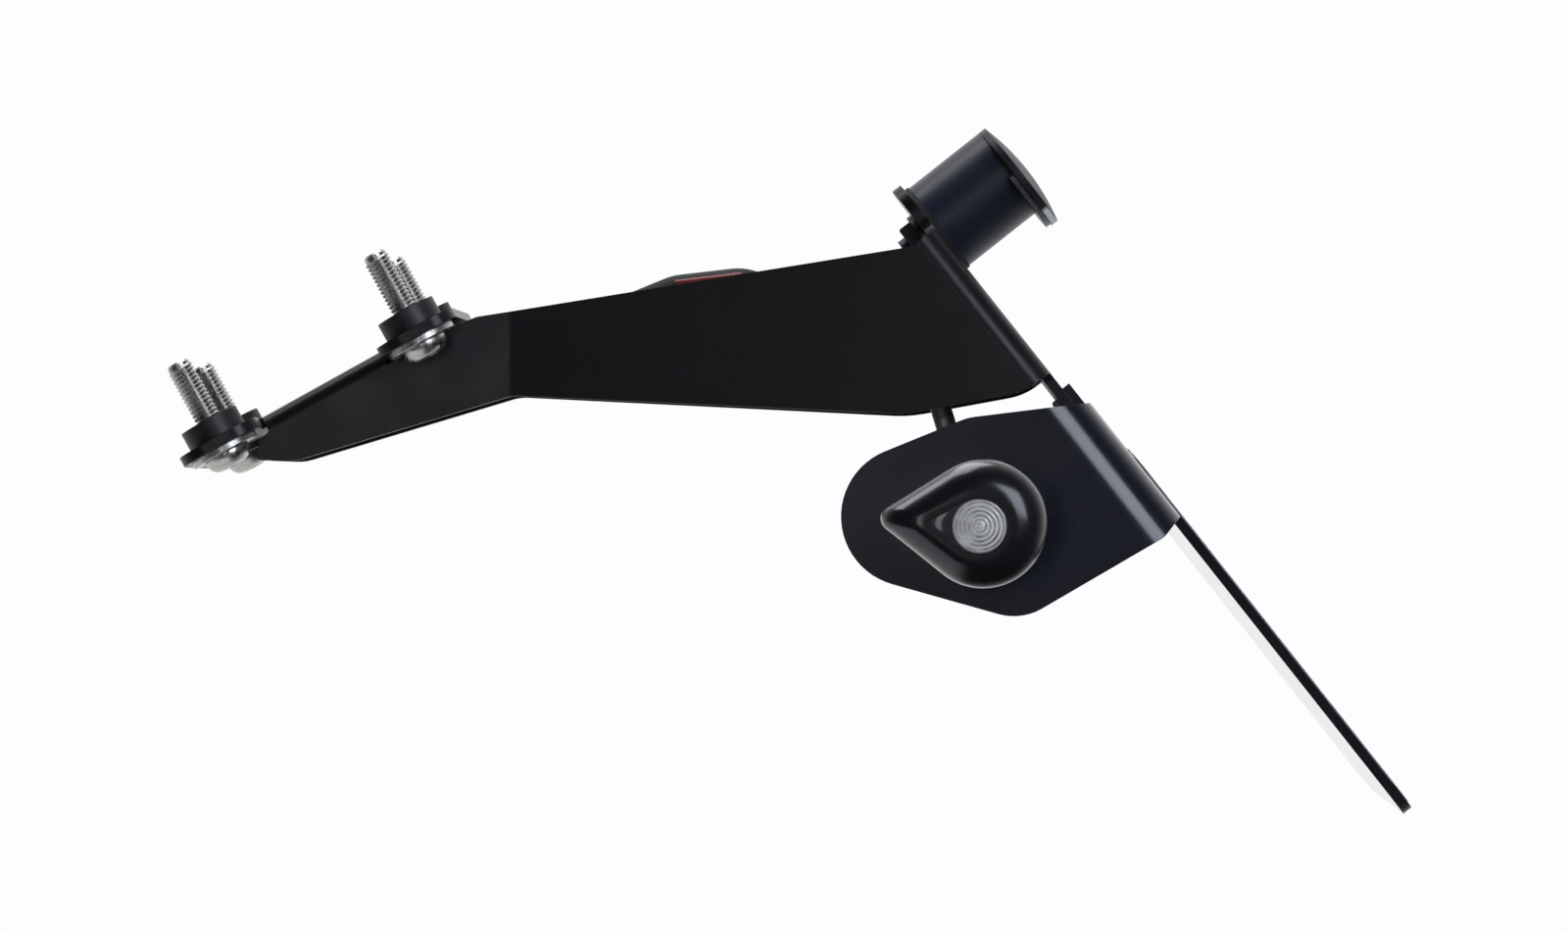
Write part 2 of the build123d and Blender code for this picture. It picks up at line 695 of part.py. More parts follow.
# Left indicator; the right one is its mirror image
with BuildPart() as left_housing:
    add(pod_form(0))
    add(pod_form(pod_wall), mode=Mode.SUBTRACT)
    with BuildSketch(side_plane(pod_root + lens_inset)):
        with Locations((round_x + lens_back, round_z)):
            Rectangle(2 * round_r, 3 * round_r, align=(Align.MIN, Align.CENTER))
    extrude(amount=pod_shoulder - pod_root - 2 * lens_inset, mode=Mode.SUBTRACT)
    with BuildSketch(side_plane(pod_end - pod_cap)):
        with Locations((window_x, window_z)):
            Circle(window_r)
        with Locations((window_tip_x, window_tip_z)):
            Circle(window_tip_r)
        make_hull()
    extrude(amount=pod_cap, mode=Mode.SUBTRACT)
    with BuildSketch(side_plane(stem_end)):
        with Locations((stem_x, stem_z)):
            Circle(stem_r)
    extrude(amount=pod_root - stem_end)
    with BuildSketch(side_plane(stem_end)):
        with Locations((stem_x, stem_z)):
            Circle(lead_r + fit_gap)
    extrude(amount=pod_root + pod_wall - stem_end, mode=Mode.SUBTRACT)

with BuildPart() as left_lens:
    with BuildSketch(side_plane(pod_root + lens_inset + fit_gap)):
        with Locations((round_x, round_z)):
            Circle(round_r)
            Circle(round_r - lens_wall, mode=Mode.SUBTRACT)
        with Locations((round_x + lens_back, round_z)):
            Rectangle(3 * round_r, 3 * round_r, align=(Align.MAX, Align.CENTER), mode=Mode.SUBTRACT)
    extrude(amount=pod_shoulder - pod_root - 2 * (lens_inset + fit_gap))

with BuildPart() as left_window:
    with BuildSketch(side_plane(pod_end - pod_cap)):
        with Locations((window_x, window_z)):
            Circle(window_r - fit_gap)
        with Locations((window_tip_x, window_tip_z)):
            Circle(window_tip_r - fit_gap)
        make_hull()
    extrude(amount=pod_cap)

with BuildPart() as left_reflector:
    with BuildSketch(side_plane(pod_root + pod_wall)):
        with Locations((bulb_x, bulb_z)):
            Circle(mirror_r + mirror_wall)
            Circle(mirror_r, mode=Mode.SUBTRACT)
        with Locations((bulb_x, bulb_z)):
            Rectangle(3 * mirror_r, 3 * mirror_r, align=(Align.MIN, Align.CENTER), mode=Mode.SUBTRACT)
    extrude(amount=pod_shoulder - pod_root - pod_wall)

with BuildPart() as left_bulb_holder:
    with BuildSketch(side_plane(pod_root + pod_wall)):
        with Locations((bulb_x, bulb_z)):
            Circle(holder_r)
    extrude(amount=holder_height)

with BuildPart() as left_bulb:
    with BuildSketch(side_plane(pod_root + pod_wall + holder_height)):
        with Locations((bulb_x, bulb_z)):
            Circle(bulb_r)
    extrude(amount=bulb_length)
    fillet(left_bulb.faces().sort_by(Axis.Y)[0].edges(), bulb_r * 0.9)

with BuildPart() as left_boot:
    with BuildSketch(side_plane(wing_half)):
        with Locations((stem_x, stem_z)):
            Circle(boot_r)
    with BuildSketch(side_plane(pod_root)):
        with Locations((stem_x, stem_z)):
            Circle(boot_neck_r)
    loft()
    with BuildSketch(side_plane(wing_half)):
        with Locations((stem_x, stem_z)):
            Circle(stem_r + thread_gap)
    extrude(amount=boot_height, mode=Mode.SUBTRACT)

stem_face = side_plane(wing_inside) * Location((stem_x, stem_z, 0), (180, 0, 0))
with BuildPart() as left_stem_washer:
    with Locations(stem_face):
        add(washer(stem_washer_r, stem_r + fit_gap, stem_washer_height))

with BuildPart() as left_stem_nut:
    with Locations(stem_face * Location((0, 0, stem_washer_height))):
        add(hex_nut(stem_nut_flats, stem_nut_height, stem_r))

# Wiring
lead_points = [
    (stem_x, -stem_end - lead_depth, stem_z),
    (stem_x, -stem_end + lead_straight, stem_z),
    (heel_x + lead_pass_back, -lead_pass_side, heel_z - lead_pass_drop),
    (sleeve_rear + lead_run, -lead_side, sleeve_z - lead_drop),
    (sleeve_rear, -lead_side, sleeve_z - lead_drop),
]
with BuildPart() as left_lead:
    add(cable(lead_points, lead_bend, lead_r))

lamp_points = [
    at_rear(0, -sheet),
    at_rear(0, -lamp_stud_end - lamp_lead_straight),
    (sleeve_rear + lamp_lead_run, sleeve_z + lamp_lead_rise),
    (sleeve_rear, sleeve_z + lamp_lead_rise),
]
with BuildPart() as lamp_lead:
    add(cable([(x, 0, z) for x, z in lamp_points], lamp_lead_bend, lamp_lead_r))

with BuildPart() as loom_sleeve:
    with BuildSketch(Plane.YZ.offset(sleeve_front)):
        with Locations((0, sleeve_z)):
            Circle(sleeve_r)
    extrude(amount=sleeve_rear - sleeve_front)
    fillet(loom_sleeve.edges(), sleeve_edge)

loom_up = web_low - clip_wall - loom_r - thread_gap
loom_points = [
    (sleeve_front, sleeve_z),
    (sleeve_front - loom_straight, sleeve_z),
    (sleeve_front - loom_crest_rear[0], sleeve_z + loom_crest_rear[1]),
    (sleeve_front - loom_crest_front[0], sleeve_z + loom_crest_front[1]),
    (sleeve_front - loom_dip[0], sleeve_z + loom_dip[1]),
    at_mount(fold_end, loom_up),
    at_mount(plug_rear, loom_up),
]
with BuildPart() as loom:
    add(cable([(x, 0, z) for x, z in loom_points], loom_bend, loom_r))

crest_rear = Vector(loom_points[2][0], 0, loom_points[2][1])
crest_front = Vector(loom_points[3][0], 0, loom_points[3][1])
crest = Plane((crest_rear + crest_front) / 2, x_dir=(0, 1, 0), z_dir=crest_rear - crest_front)
wire_offset = loom_r + wire_r
with BuildPart() as red_wire:
    with BuildSketch(crest):
        with Locations((-wire_offset * cos(radians(wire_turn)), wire_offset * sin(radians(wire_turn)))):
            Circle(wire_r)
    extrude(amount=wire_length / 2, both=True)

with BuildPart() as loom_plug:
    with BuildSketch(mount.offset(web_low)):
        with Locations((plug_rear, 0)):
            Rectangle(plug_rear - plug_front, plug_width, align=(Align.MAX, Align.CENTER))
    extrude(amount=-plug_height)
    fillet(loom_plug.edges().filter_by(Axis(mount.origin, mount.x_dir)), plug_edge)
    plug_mouth = Plane(
        mount.from_local_coords((plug_front, 0, web_low - plug_height / 2)),
        x_dir=(0, 1, 0),
        z_dir=mount.x_dir,
    )
    with BuildSketch(plug_mouth):
        with GridLocations(plug_pitch, plug_pitch, 3, 2):
            Rectangle(plug_way, plug_way)
    extrude(amount=plug_depth, mode=Mode.SUBTRACT)

clip_plane = Plane(
    mount.from_local_coords((clip_along - clip_width / 2, 0, loom_up)),
    x_dir=(0, 1, 0),
    z_dir=mount.x_dir,
)
with BuildPart() as loom_clip:
    with BuildSketch(clip_plane):
        Circle(loom_r + thread_gap + clip_wall)
        with Locations((0, loom_r + thread_gap + clip_wall)):
            Rectangle(clip_foot, clip_wall, align=(Align.MIN, Align.MAX))
        Circle(loom_r + thread_gap, mode=Mode.SUBTRACT)
    extrude(amount=clip_width)
    with BuildSketch(mount.offset(web_low)):
        with Locations((clip_along, clip_screw_side)):
            Circle(clip_screw_r + fit_gap)
    extrude(amount=-clip_wall, mode=Mode.SUBTRACT)

clip_spot = mount.offset(web_low) * Location((clip_along, clip_screw_side, 0))
with BuildPart() as clip_screw:
    with Locations(clip_spot * Location((0, 0, -clip_wall))):
        Cylinder(clip_head_r, clip_head_height, align=(Align.CENTER, Align.CENTER, Align.MAX))
        clip_thread = clip_wall + sheet + clip_nut_height + clip_screw_spare
        Cylinder(clip_screw_r, clip_thread, align=(Align.CENTER, Align.CENTER, Align.MIN))

with BuildPart() as clip_nut:
    with Locations(clip_spot * Location((0, 0, sheet))):
        add(hex_nut(clip_nut_flats, clip_nut_height, clip_screw_r))

pieces = {
    "main_bracket": main_bracket.part,
    "mounting_bolts": mounting_bolts.part,
    "mounting_washers": mounting_washers.part,
    "mounting_spacers": mounting_spacers.part,
    "indicator_bracket": indicator_bracket.part,
    "bracket_studs": bracket_studs.part,
    "bracket_washers": bracket_washers.part,
    "bracket_nuts": bracket_nuts.part,
    "number_plate": number_plate.part,
    "plate_face": plate_face.part,
    "plate_screws": plate_screws.part,
    "plate_washers": plate_washers.part,
    "plate_nuts": plate_nuts.part,
    "lamp_gasket": lamp_gasket.part,
    "lamp_housing": lamp_housing.part,
    "lamp_hood": lamp_hood.part,
    "lamp_lens": lamp_lens.part,
    "lamp_chips": lamp_chips.part,
    "lamp_washer": lamp_washer.part,
    "lamp_nut": lamp_nut.part,
    "lamp_lead": lamp_lead.part,
    "loom": loom.part,
    "loom_sleeve": loom_sleeve.part,
    "loom_plug": loom_plug.part,
    "loom_clip": loom_clip.part,
    "clip_screw": clip_screw.part,
    "clip_nut": clip_nut.part,
    "red_wire": red_wire.part,
}
left_pieces = {
    "indicator_housing": left_housing.part,
    "indicator_lens": left_lens.part,
    "indicator_window": left_window.part,
    "indicator_reflector": left_reflector.part,
    "indicator_bulb_holder": left_bulb_holder.part,
    "indicator_bulb": left_bulb.part,
    "indicator_boot": left_boot.part,
    "indicator_washer": left_stem_washer.part,
    "indicator_nut": left_stem_nut.part,
    "indicator_lead": left_lead.part,
}
for name, left in left_pieces.items():
    with BuildPart() as right:
        mirror(left, about=Plane.XZ)
    pieces["left_" + name] = left
    pieces["right_" + name] = right.part

for name, piece in pieces.items():
    piece.label = name
    export_step(piece, "parts/" + name + ".step")
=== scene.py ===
from math import acos, cos, pi, radians, sin, sqrt

import bmesh
import bpy
from mathutils import Matrix, Vector


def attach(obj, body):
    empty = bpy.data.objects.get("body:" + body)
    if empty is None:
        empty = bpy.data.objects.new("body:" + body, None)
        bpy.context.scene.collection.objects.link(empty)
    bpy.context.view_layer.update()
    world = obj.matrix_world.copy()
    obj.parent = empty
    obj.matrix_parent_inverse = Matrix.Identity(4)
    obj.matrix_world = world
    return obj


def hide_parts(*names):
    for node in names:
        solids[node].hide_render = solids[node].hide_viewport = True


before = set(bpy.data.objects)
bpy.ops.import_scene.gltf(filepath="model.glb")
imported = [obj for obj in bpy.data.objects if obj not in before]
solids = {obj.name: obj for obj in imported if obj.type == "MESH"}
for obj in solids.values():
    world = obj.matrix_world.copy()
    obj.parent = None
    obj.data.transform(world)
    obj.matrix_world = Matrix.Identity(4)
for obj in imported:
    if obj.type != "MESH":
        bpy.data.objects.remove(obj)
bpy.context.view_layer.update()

# Directions of the part: +X to the rear, +Y to the right, +Z up, in metres
REARWARD = Vector((1.0, 0.0, 0.0))
ACROSS = Vector((0.0, 1.0, 0.0))
MOUNT_SLOPE = radians(29.0)  # of the mounting web, which rises to the rear
ALONG = Vector((cos(MOUNT_SLOPE), 0.0, sin(MOUNT_SLOPE)))
UP = Vector((-sin(MOUNT_SLOPE), 0.0, cos(MOUNT_SLOPE)))
REAR_SLOPE = radians(51.7)  # of the main bracket's rear face, which falls to the rear
DOWN = Vector((cos(REAR_SLOPE), 0.0, -sin(REAR_SLOPE)))
OUT = Vector((sin(REAR_SLOPE), 0.0, cos(REAR_SLOPE)))
SIDES = {"left_": -1, "right_": 1}

# Lamp: its axis on the rear face, and where the painted highlight on the back of the hood's lip
# begins and ends
LAMP = OUT * 0.1695 + DOWN * 0.082
LIP_START, LIP_FULL = LAMP.dot(DOWN) + 0.0150, LAMP.dot(DOWN) + 0.0162
LIP_BACK, LIP_FRONT = LAMP.dot(OUT) + 0.0298, LAMP.dot(OUT) + 0.0301

# Bolts, measured along their axis from the tops of the spacers
BOLT_SPREAD = 0.033  # from the middle of the pattern, along and across
BOLT_TOP = 0.0192
TIP_R, TIP_BEVEL = 0.0028, 0.0007
CORE_R = 0.0034
THREAD_CREST, THREAD_ROOT, THREAD_PITCH = 0.0039, 0.0033, 0.00125
THREAD_START, THREAD_END = -0.0008, BOLT_TOP - 0.0006
SHANK_R, SHANK_TOP = 0.004, -0.0004
HEAD_R, HEAD_SEAT, HEAD_EDGE, HEAD_LOW = 0.007, -0.0108, -0.0114, -0.0152
HEAD_BREAK = 0.0002  # broken edge beside the seat
SOCKET_RIM, SOCKET_FLATS, SOCKET_DEPTH = 0.00315, 0.005, 0.00264
SOCKET_MOUTH = HEAD_LOW + 0.0002

# Indicators: places in the side view as X and Z, and distances from the middle plane
WINDOW, WINDOW_R = (0.1975, -0.0467), 0.0077
WINDOW_TIP, WINDOW_TIP_R = (0.1845, -0.0456), 0.0009
WINDOW_BACK, WINDOW_FRONT = 0.1627, 0.1644
WINDOW_RIM_SHADOW = 0.0007  # width of the painted shadow at its rim
RING_COUNT, RING_PITCH = 5, 0.0012
RING_HIGH, RING_LOW, RING_DROP = 0.0003, -0.0002, 0.0001  # crest, valley, width of the step between
RING_MIDDLE, RING_DISC = 0.0008, 0.0074  # flat middle, and the disc that holds the rings
BULB, BULB_R = (0.202, -0.046), 0.0042
BULB_FOOT, BULB_END = 0.138, 0.154
COIL_R, COIL_PITCH, COIL_TURNS, COIL_STEPS = 0.0007, 0.0006, 7, 16
COIL_SHARE = 0.62  # height of the filament in the bulb
WIRE_R = 0.00018
STEM = (0.194, -0.0455)
BOOT_FOOT, BOOT_END, BOOT_BORE = 0.120, 0.126, 0.00505

# Meshes: points joined when closer than this, and the angle from which an edge stays sharp
WELD, FINE_WELD = 1e-6, 1e-7
SHARP = radians(32.0)


def linear(red, green, blue):
    """Linear colour of an 8-bit screen colour."""
    channels = [value / 255 for value in (red, green, blue)]
    light = [c / 12.92 if c <= 0.04045 else ((c + 0.055) / 1.055) ** 2.4 for c in channels]
    return (*light, 1.0)


# Shader node helpers


def new_group(name, inputs, outputs):
    """Empty shader node group with its input and output nodes."""
    group = bpy.data.node_groups.new(name, "ShaderNodeTree")
    for label, kind, value in inputs:
        socket = group.interface.new_socket(label, in_out="INPUT", socket_type=kind)
        socket.default_value = value
    for label, kind in outputs:
        group.interface.new_socket(label, in_out="OUTPUT", socket_type=kind)
    return group, group.nodes.new("NodeGroupInput"), group.nodes.new("NodeGroupOutput")


def math_node(tree, operation, first, second=None):
    """Math node fed by sockets or plain numbers."""
    node = tree.nodes.new("ShaderNodeMath")
    node.operation = operation
    for place, value in enumerate((first, second)):
        if value is None:
            continue
        if isinstance(value, (int, float)):
            node.inputs[place].default_value = value
        else:
            tree.links.new(value, node.inputs[place])
    return node.outputs[0]


def vector_node(tree, operation, first, second, output="Vector"):
    """Vector Math node; its second side is a socket or a plain vector."""
    node = tree.nodes.new("ShaderNodeVectorMath")
    node.operation = operation
    tree.links.new(first, node.inputs[0])
    if isinstance(second, (Vector, tuple)):
        node.inputs[1].default_value = second
    else:
        tree.links.new(second, node.inputs[1])
    return node.outputs[output]


def distance_along(tree, place, direction):
    """Distance of a place from the origin along a direction."""
    return vector_node(tree, "DOT_PRODUCT", place, direction, "Value")


def noise_node(tree, vector, scale, detail=3.0, roughness=0.5):
    """Noise texture; the scale is a number or a socket, in cells per metre."""
    node = tree.nodes.new("ShaderNodeTexNoise")
    node.inputs["Detail"].default_value = detail
    node.inputs["Roughness"].default_value = roughness
    tree.links.new(vector, node.inputs["Vector"])
    if isinstance(scale, (int, float)):
        node.inputs["Scale"].default_value = scale
    else:
        tree.links.new(scale, node.inputs["Scale"])
    return node.outputs["Fac"]


def spread(tree, value, low, high, start=0.3, end=0.7):
    """A value that runs from start to end, made to run from low to high."""
    node = tree.nodes.new("ShaderNodeMapRange")
    limits = {"From Min": start, "From Max": end, "To Min": low, "To Max": high}
    for socket, number in limits.items():
        node.inputs[socket].default_value = number
    tree.links.new(value, node.inputs["Value"])
    return node.outputs["Result"]


def blend_colour(tree, mask, first, second):
    """Mix of two colours by a mask; each is a socket or a plain colour."""
    node = tree.nodes.new("ShaderNodeMix")
    node.data_type = "RGBA"
    tree.links.new(mask, node.inputs["Factor"])
    for side, colour in (("A", first), ("B", second)):
        if isinstance(colour, tuple):
            node.inputs[side].default_value = colour
        else:
            tree.links.new(colour, node.inputs[side])
    return node.outputs["Result"]


def blend_shader(tree, mask, first, second):
    """Mix of two shaders by a mask."""
    node = tree.nodes.new("ShaderNodeMixShader")
    tree.links.new(mask, node.inputs["Fac"])
    tree.links.new(first, node.inputs[1])
    tree.links.new(second, node.inputs[2])
    return node.outputs[0]


def raise_bump(tree, height, depth, below):
    """Normal with a bump of a given depth in metres over another normal."""
    node = tree.nodes.new("ShaderNodeBump")
    node.inputs["Strength"].default_value = 1.0
    node.inputs["Distance"].default_value = depth
    tree.links.new(height, node.inputs["Height"])
    tree.links.new(below, node.inputs["Normal"])
    return node.outputs["Normal"]


# Shared effects


def grain_group():
    """Fine surface grain with slow mottling and smudges."""
    group, given, result = new_group(
        "surface_grain",
        [("Vector", "NodeSocketVector", (0, 0, 0)), ("Grain", "NodeSocketFloat", 1500.0)],
        [(label, "NodeSocketFloat") for label in ("Height", "Mottle", "Smudge")],
    )
    place, grain = given.outputs["Vector"], given.outputs["Grain"]
    fine = noise_node(group, place, grain, detail=2.0)
    coarse = noise_node(group, place, math_node(group, "MULTIPLY", grain, 0.4), detail=1.0)
    fine_part = math_node(group, "MULTIPLY", fine, 0.4)
    coarse_part = math_node(group, "MULTIPLY", coarse, 0.6)
    mottle = noise_node(group, place, 26.0, detail=4.0, roughness=0.6)
    smudge = noise_node(group, place, 60.0, detail=3.0, roughness=0.6)
    group.links.new(math_node(group, "ADD", fine_part, coarse_part), result.inputs["Height"])
    group.links.new(mottle, result.inputs["Mottle"])
    group.links.new(smudge, result.inputs["Smudge"])
    return group


def edge_group():
    """Softened edges, and a mask of the rubbed line along them."""
    group, given, result = new_group(
        "softened_edges",
        [("Vector", "NodeSocketVector", (0, 0, 0)), ("Radius", "NodeSocketFloat", 0.0004)],
        [("Normal", "NodeSocketVector"), ("Rubbed", "NodeSocketFloat")],
    )
    rounded = group.nodes.new("ShaderNodeBevel")
    rounded.samples = 8
    group.links.new(given.outputs["Radius"], rounded.inputs["Radius"])
    square = group.nodes.new("ShaderNodeNewGeometry").outputs["Normal"]
    lean = vector_node(group, "DOT_PRODUCT", rounded.outputs["Normal"], square, "Value")
    turned = spread(group, lean, 1.0, 0.0, start=0.75, end=0.98)
    wear = noise_node(group, given.outputs["Vector"], 320.0, detail=4.0, roughness=0.65)
    patchy = spread(group, wear, 0.0, 1.0, start=0.35, end=0.65)
    group.links.new(rounded.outputs["Normal"], result.inputs["Normal"])
    group.links.new(math_node(group, "MULTIPLY", turned, patchy), result.inputs["Rubbed"])
    return group


def thread_group():
    """Sharp ridges of a thread and round flutes of a lens from the distance along a line."""
    group, given, result = new_group(
        "thread_ridges",
        [("Distance", "NodeSocketFloat", 0.0), ("Pitch", "NodeSocketFloat", 0.001)],
        [("Height", "NodeSocketFloat"), ("Flute", "NodeSocketFloat")],
    )
    turns = math_node(group, "DIVIDE", given.outputs["Distance"], given.outputs["Pitch"])
    group.links.new(math_node(group, "PINGPONG", turns, 0.5), result.inputs["Height"])
    wave = math_node(group, "SINE", math_node(group, "MULTIPLY", turns, 2 * pi))
    group.links.new(spread(group, wave, 0.0, 1.0, start=-1.0, end=1.0), result.inputs["Flute"])
    return group


def weave_group():
    """Crossing strands of a woven cable sleeve."""
    group, given, result = new_group(
        "woven_sleeve",
        [("Vector", "NodeSocketVector", (0, 0, 0)), ("Strand", "NodeSocketFloat", 0.0016)],
        [("Height", "NodeSocketFloat")],
    )
    split = group.nodes.new("ShaderNodeSeparateXYZ")
    group.links.new(given.outputs["Vector"], split.inputs[0])
    across = math_node(group, "ADD", split.outputs["Y"], split.outputs["Z"])
    waves = []
    for operation in ("ADD", "SUBTRACT"):
        line = math_node(group, operation, split.outputs["X"], across)
        turns = math_node(group, "DIVIDE", line, given.outputs["Strand"])
        waves.append(math_node(group, "PINGPONG", turns, 0.5))
    group.links.new(math_node(group, "MAXIMUM", *waves), result.inputs["Height"])
    return group


def brush_group():
    """Fine scratches drawn out along one direction, as on turned or brushed metal."""
    group, given, result = new_group(
        "brushed_lines",
        [("Vector", "NodeSocketVector", (0, 0, 0)), ("Stretch", "NodeSocketVector", (1, 1, 1))],
        [("Lines", "NodeSocketFloat")],
    )
    drawn = vector_node(group, "MULTIPLY", given.outputs["Vector"], given.outputs["Stretch"])
    group.links.new(noise_node(group, drawn, 1.0, detail=3.0, roughness=0.6), result.inputs["Lines"])
    return group


def cell_group():
    """Seal lines between the cells of reflective sheeting."""
    group, given, result = new_group(
        "sheet_cells",
        [("Vector", "NodeSocketVector", (0, 0, 0)), ("Size", "NodeSocketFloat", 0.0032)],
        [("Line", "NodeSocketFloat")],
    )
    cells = group.nodes.new("ShaderNodeTexVoronoi")
    cells.feature = "DISTANCE_TO_EDGE"
    cells.inputs["Randomness"].default_value = 0.05
    group.links.new(given.outputs["Vector"], cells.inputs["Vector"])
    group.links.new(math_node(group, "DIVIDE", 1.0, given.outputs["Size"]), cells.inputs["Scale"])
    line = spread(group, cells.outputs["Distance"], 1.0, 0.0, start=0.02, end=0.07)
    group.links.new(line, result.inputs["Line"])
    return group


GRAIN = grain_group()
EDGES = edge_group()
THREAD = thread_group()
WEAVE = weave_group()
BRUSH = brush_group()
CELLS = cell_group()


def place_group(tree, group, **values):
    """Group node in a material, with plain values on its inputs."""
    node = tree.nodes.new("ShaderNodeGroup")
    node.node_tree = group
    for label, value in values.items():
        node.inputs[label].default_value = value
    return node


# Finishes


class Finish:
    """Material with the parts that its details build on."""

    def __init__(self, name):
        self.material = bpy.data.materials.new(name)
        self.material.use_nodes = True
        self.tree = self.material.node_tree
        self.shader = self.tree.nodes["Principled BSDF"]
        self.place = self.tree.nodes.new("ShaderNodeTexCoord").outputs["Object"]

    def fix(self, socket, value):
        """Plain value on a socket of the shader."""
        self.shader.inputs[socket].default_value = value

    def link(self, value, socket):
        """Value that changes over the surface, on a socket of the shader."""
        self.tree.links.new(value, self.shader.inputs[socket])

    def fed(self, socket):
        """What feeds a socket of the shader so far."""
        return self.shader.inputs[socket].links[0].from_socket

    def group(self, group, **values):
        """Shared effect, read at the place on the part where it asks for one."""
        node = place_group(self.tree, group, **values)
        if "Vector" in node.inputs:
            self.tree.links.new(self.place, node.inputs["Vector"])
        return node

    def recolour(self, mask, colour):
        """Another colour over the colour so far, by a mask."""
        self.link(blend_colour(self.tree, mask, self.fed("Base Color"), colour), "Base Color")

    def bump(self, height, depth):
        """Bump over the normal so far."""
        self.link(raise_bump(self.tree, height, depth, self.fed("Normal")), "Normal")

    def ridges(self, direction, pitch, depth, form="Height"):
        """Ridges square to a direction of the part."""
        rows = place_group(self.tree, THREAD, Pitch=pitch)
        distance = distance_along(self.tree, self.place, direction)
        self.tree.links.new(distance, rows.inputs["Distance"])
        self.bump(rows.outputs[form], depth)


def solid_finish(
    name, light, dark, rough, grain, depth,
    edge=0.0004, rub=None, metallic=0.0, specular=0.5, coat=0.0,
):
    """Opaque finish: two-tone mottle, uneven gloss, fine grain, softened and rubbed edges."""
    finish = Finish(name)
    finish.fix("Metallic", metallic)
    finish.fix("Specular IOR Level", specular)
    finish.fix("Coat Weight", coat)
    finish.fix("Coat Roughness", 0.18)
    texture = finish.group(GRAIN, Grain=grain)
    edges = finish.group(EDGES, Radius=edge)
    mottle = spread(finish.tree, texture.outputs["Mottle"], 0.0, 1.0)
    finish.link(blend_colour(finish.tree, mottle, dark, light), "Base Color")
    if rub:
        finish.recolour(edges.outputs["Rubbed"], rub)
    finish.link(spread(finish.tree, texture.outputs["Smudge"], *rough), "Roughness")
    finish.link(edges.outputs["Normal"], "Normal")
    finish.bump(texture.outputs["Height"], depth)
    return finish


def metal_finish(name, light, dark, rough, stretch, edge=0.0003):
    """Bare or plated metal with drawn-out scratches."""
    finish = solid_finish(
        name, light, dark, rough, grain=900.0, depth=0.000004, edge=edge, metallic=1.0,
    )
    lines = finish.group(BRUSH, Stretch=stretch).outputs["Lines"]
    smooth, worn = rough
    finish.link(spread(finish.tree, lines, smooth, worn + 0.12), "Roughness")
    finish.bump(lines, 0.000012)
    return finish


def zinc_finish(name):
    """Bright zinc plate."""
    return metal_finish(
        name, (0.52, 0.53, 0.53, 1), (0.38, 0.39, 0.40, 1),
        rough=(0.28, 0.42), stretch=(400.0, 400.0, 400.0),
    )


def clear_finish(name, tint, roughness, depth, index=1.49, clear=1.0):
    """Clear moulded plastic or glass."""
    finish = Finish(name)
    finish.fix("Transmission Weight", clear)
    finish.fix("IOR", index)
    texture = finish.group(GRAIN, Grain=600.0)
    edges = finish.group(EDGES, Radius=0.0002)
    haze = tuple(0.94 * channel for channel in tint[:3]) + (1.0,)
    mottle = spread(finish.tree, texture.outputs["Mottle"], 0.0, 1.0)
    smudge = spread(finish.tree, texture.outputs["Smudge"], roughness * 0.6, roughness * 1.5)
    finish.link(blend_colour(finish.tree, mottle, haze, tint), "Base Color")
    finish.link(smudge, "Roughness")
    finish.link(edges.outputs["Normal"], "Normal")
    finish.bump(texture.outputs["Height"], depth)
    return finish


def seal_cells(finish):
    """Cells of reflective sheeting, in rows at 45 degrees to the plate's edges."""
    flattened = finish.tree.nodes.new("ShaderNodeCombineXYZ")
    rows = {"X": (DOWN + ACROSS).normalized(), "Y": (DOWN - ACROSS).normalized()}
    for axis, direction in rows.items():
        distance = distance_along(finish.tree, finish.place, direction)
        finish.tree.links.new(distance, flattened.inputs[axis])
    pattern = place_group(finish.tree, CELLS)
    finish.tree.links.new(flattened.outputs[0], pattern.inputs["Vector"])
    finish.recolour(pattern.outputs["Line"], linear(212, 214, 213))
    finish.bump(pattern.outputs["Line"], 0.00002)


def lip_painted_highlight(finish):
    """Painted highlight: pale colour on the back of the black hood's lip, standing for the lit edge
    of the clear lens below it.
    """
    low = distance_along(finish.tree, finish.place, DOWN)
    high = distance_along(finish.tree, finish.place, OUT)
    at_lip = spread(finish.tree, low, 0.0, 1.0, start=LIP_START, end=LIP_FULL)
    at_back = spread(finish.tree, high, 1.0, 0.0, start=LIP_BACK, end=LIP_FRONT)
    # Pale colour of the painted highlight over the lip's band
    finish.recolour(math_node(finish.tree, "MULTIPLY", at_lip, at_back), linear(196, 198, 200))


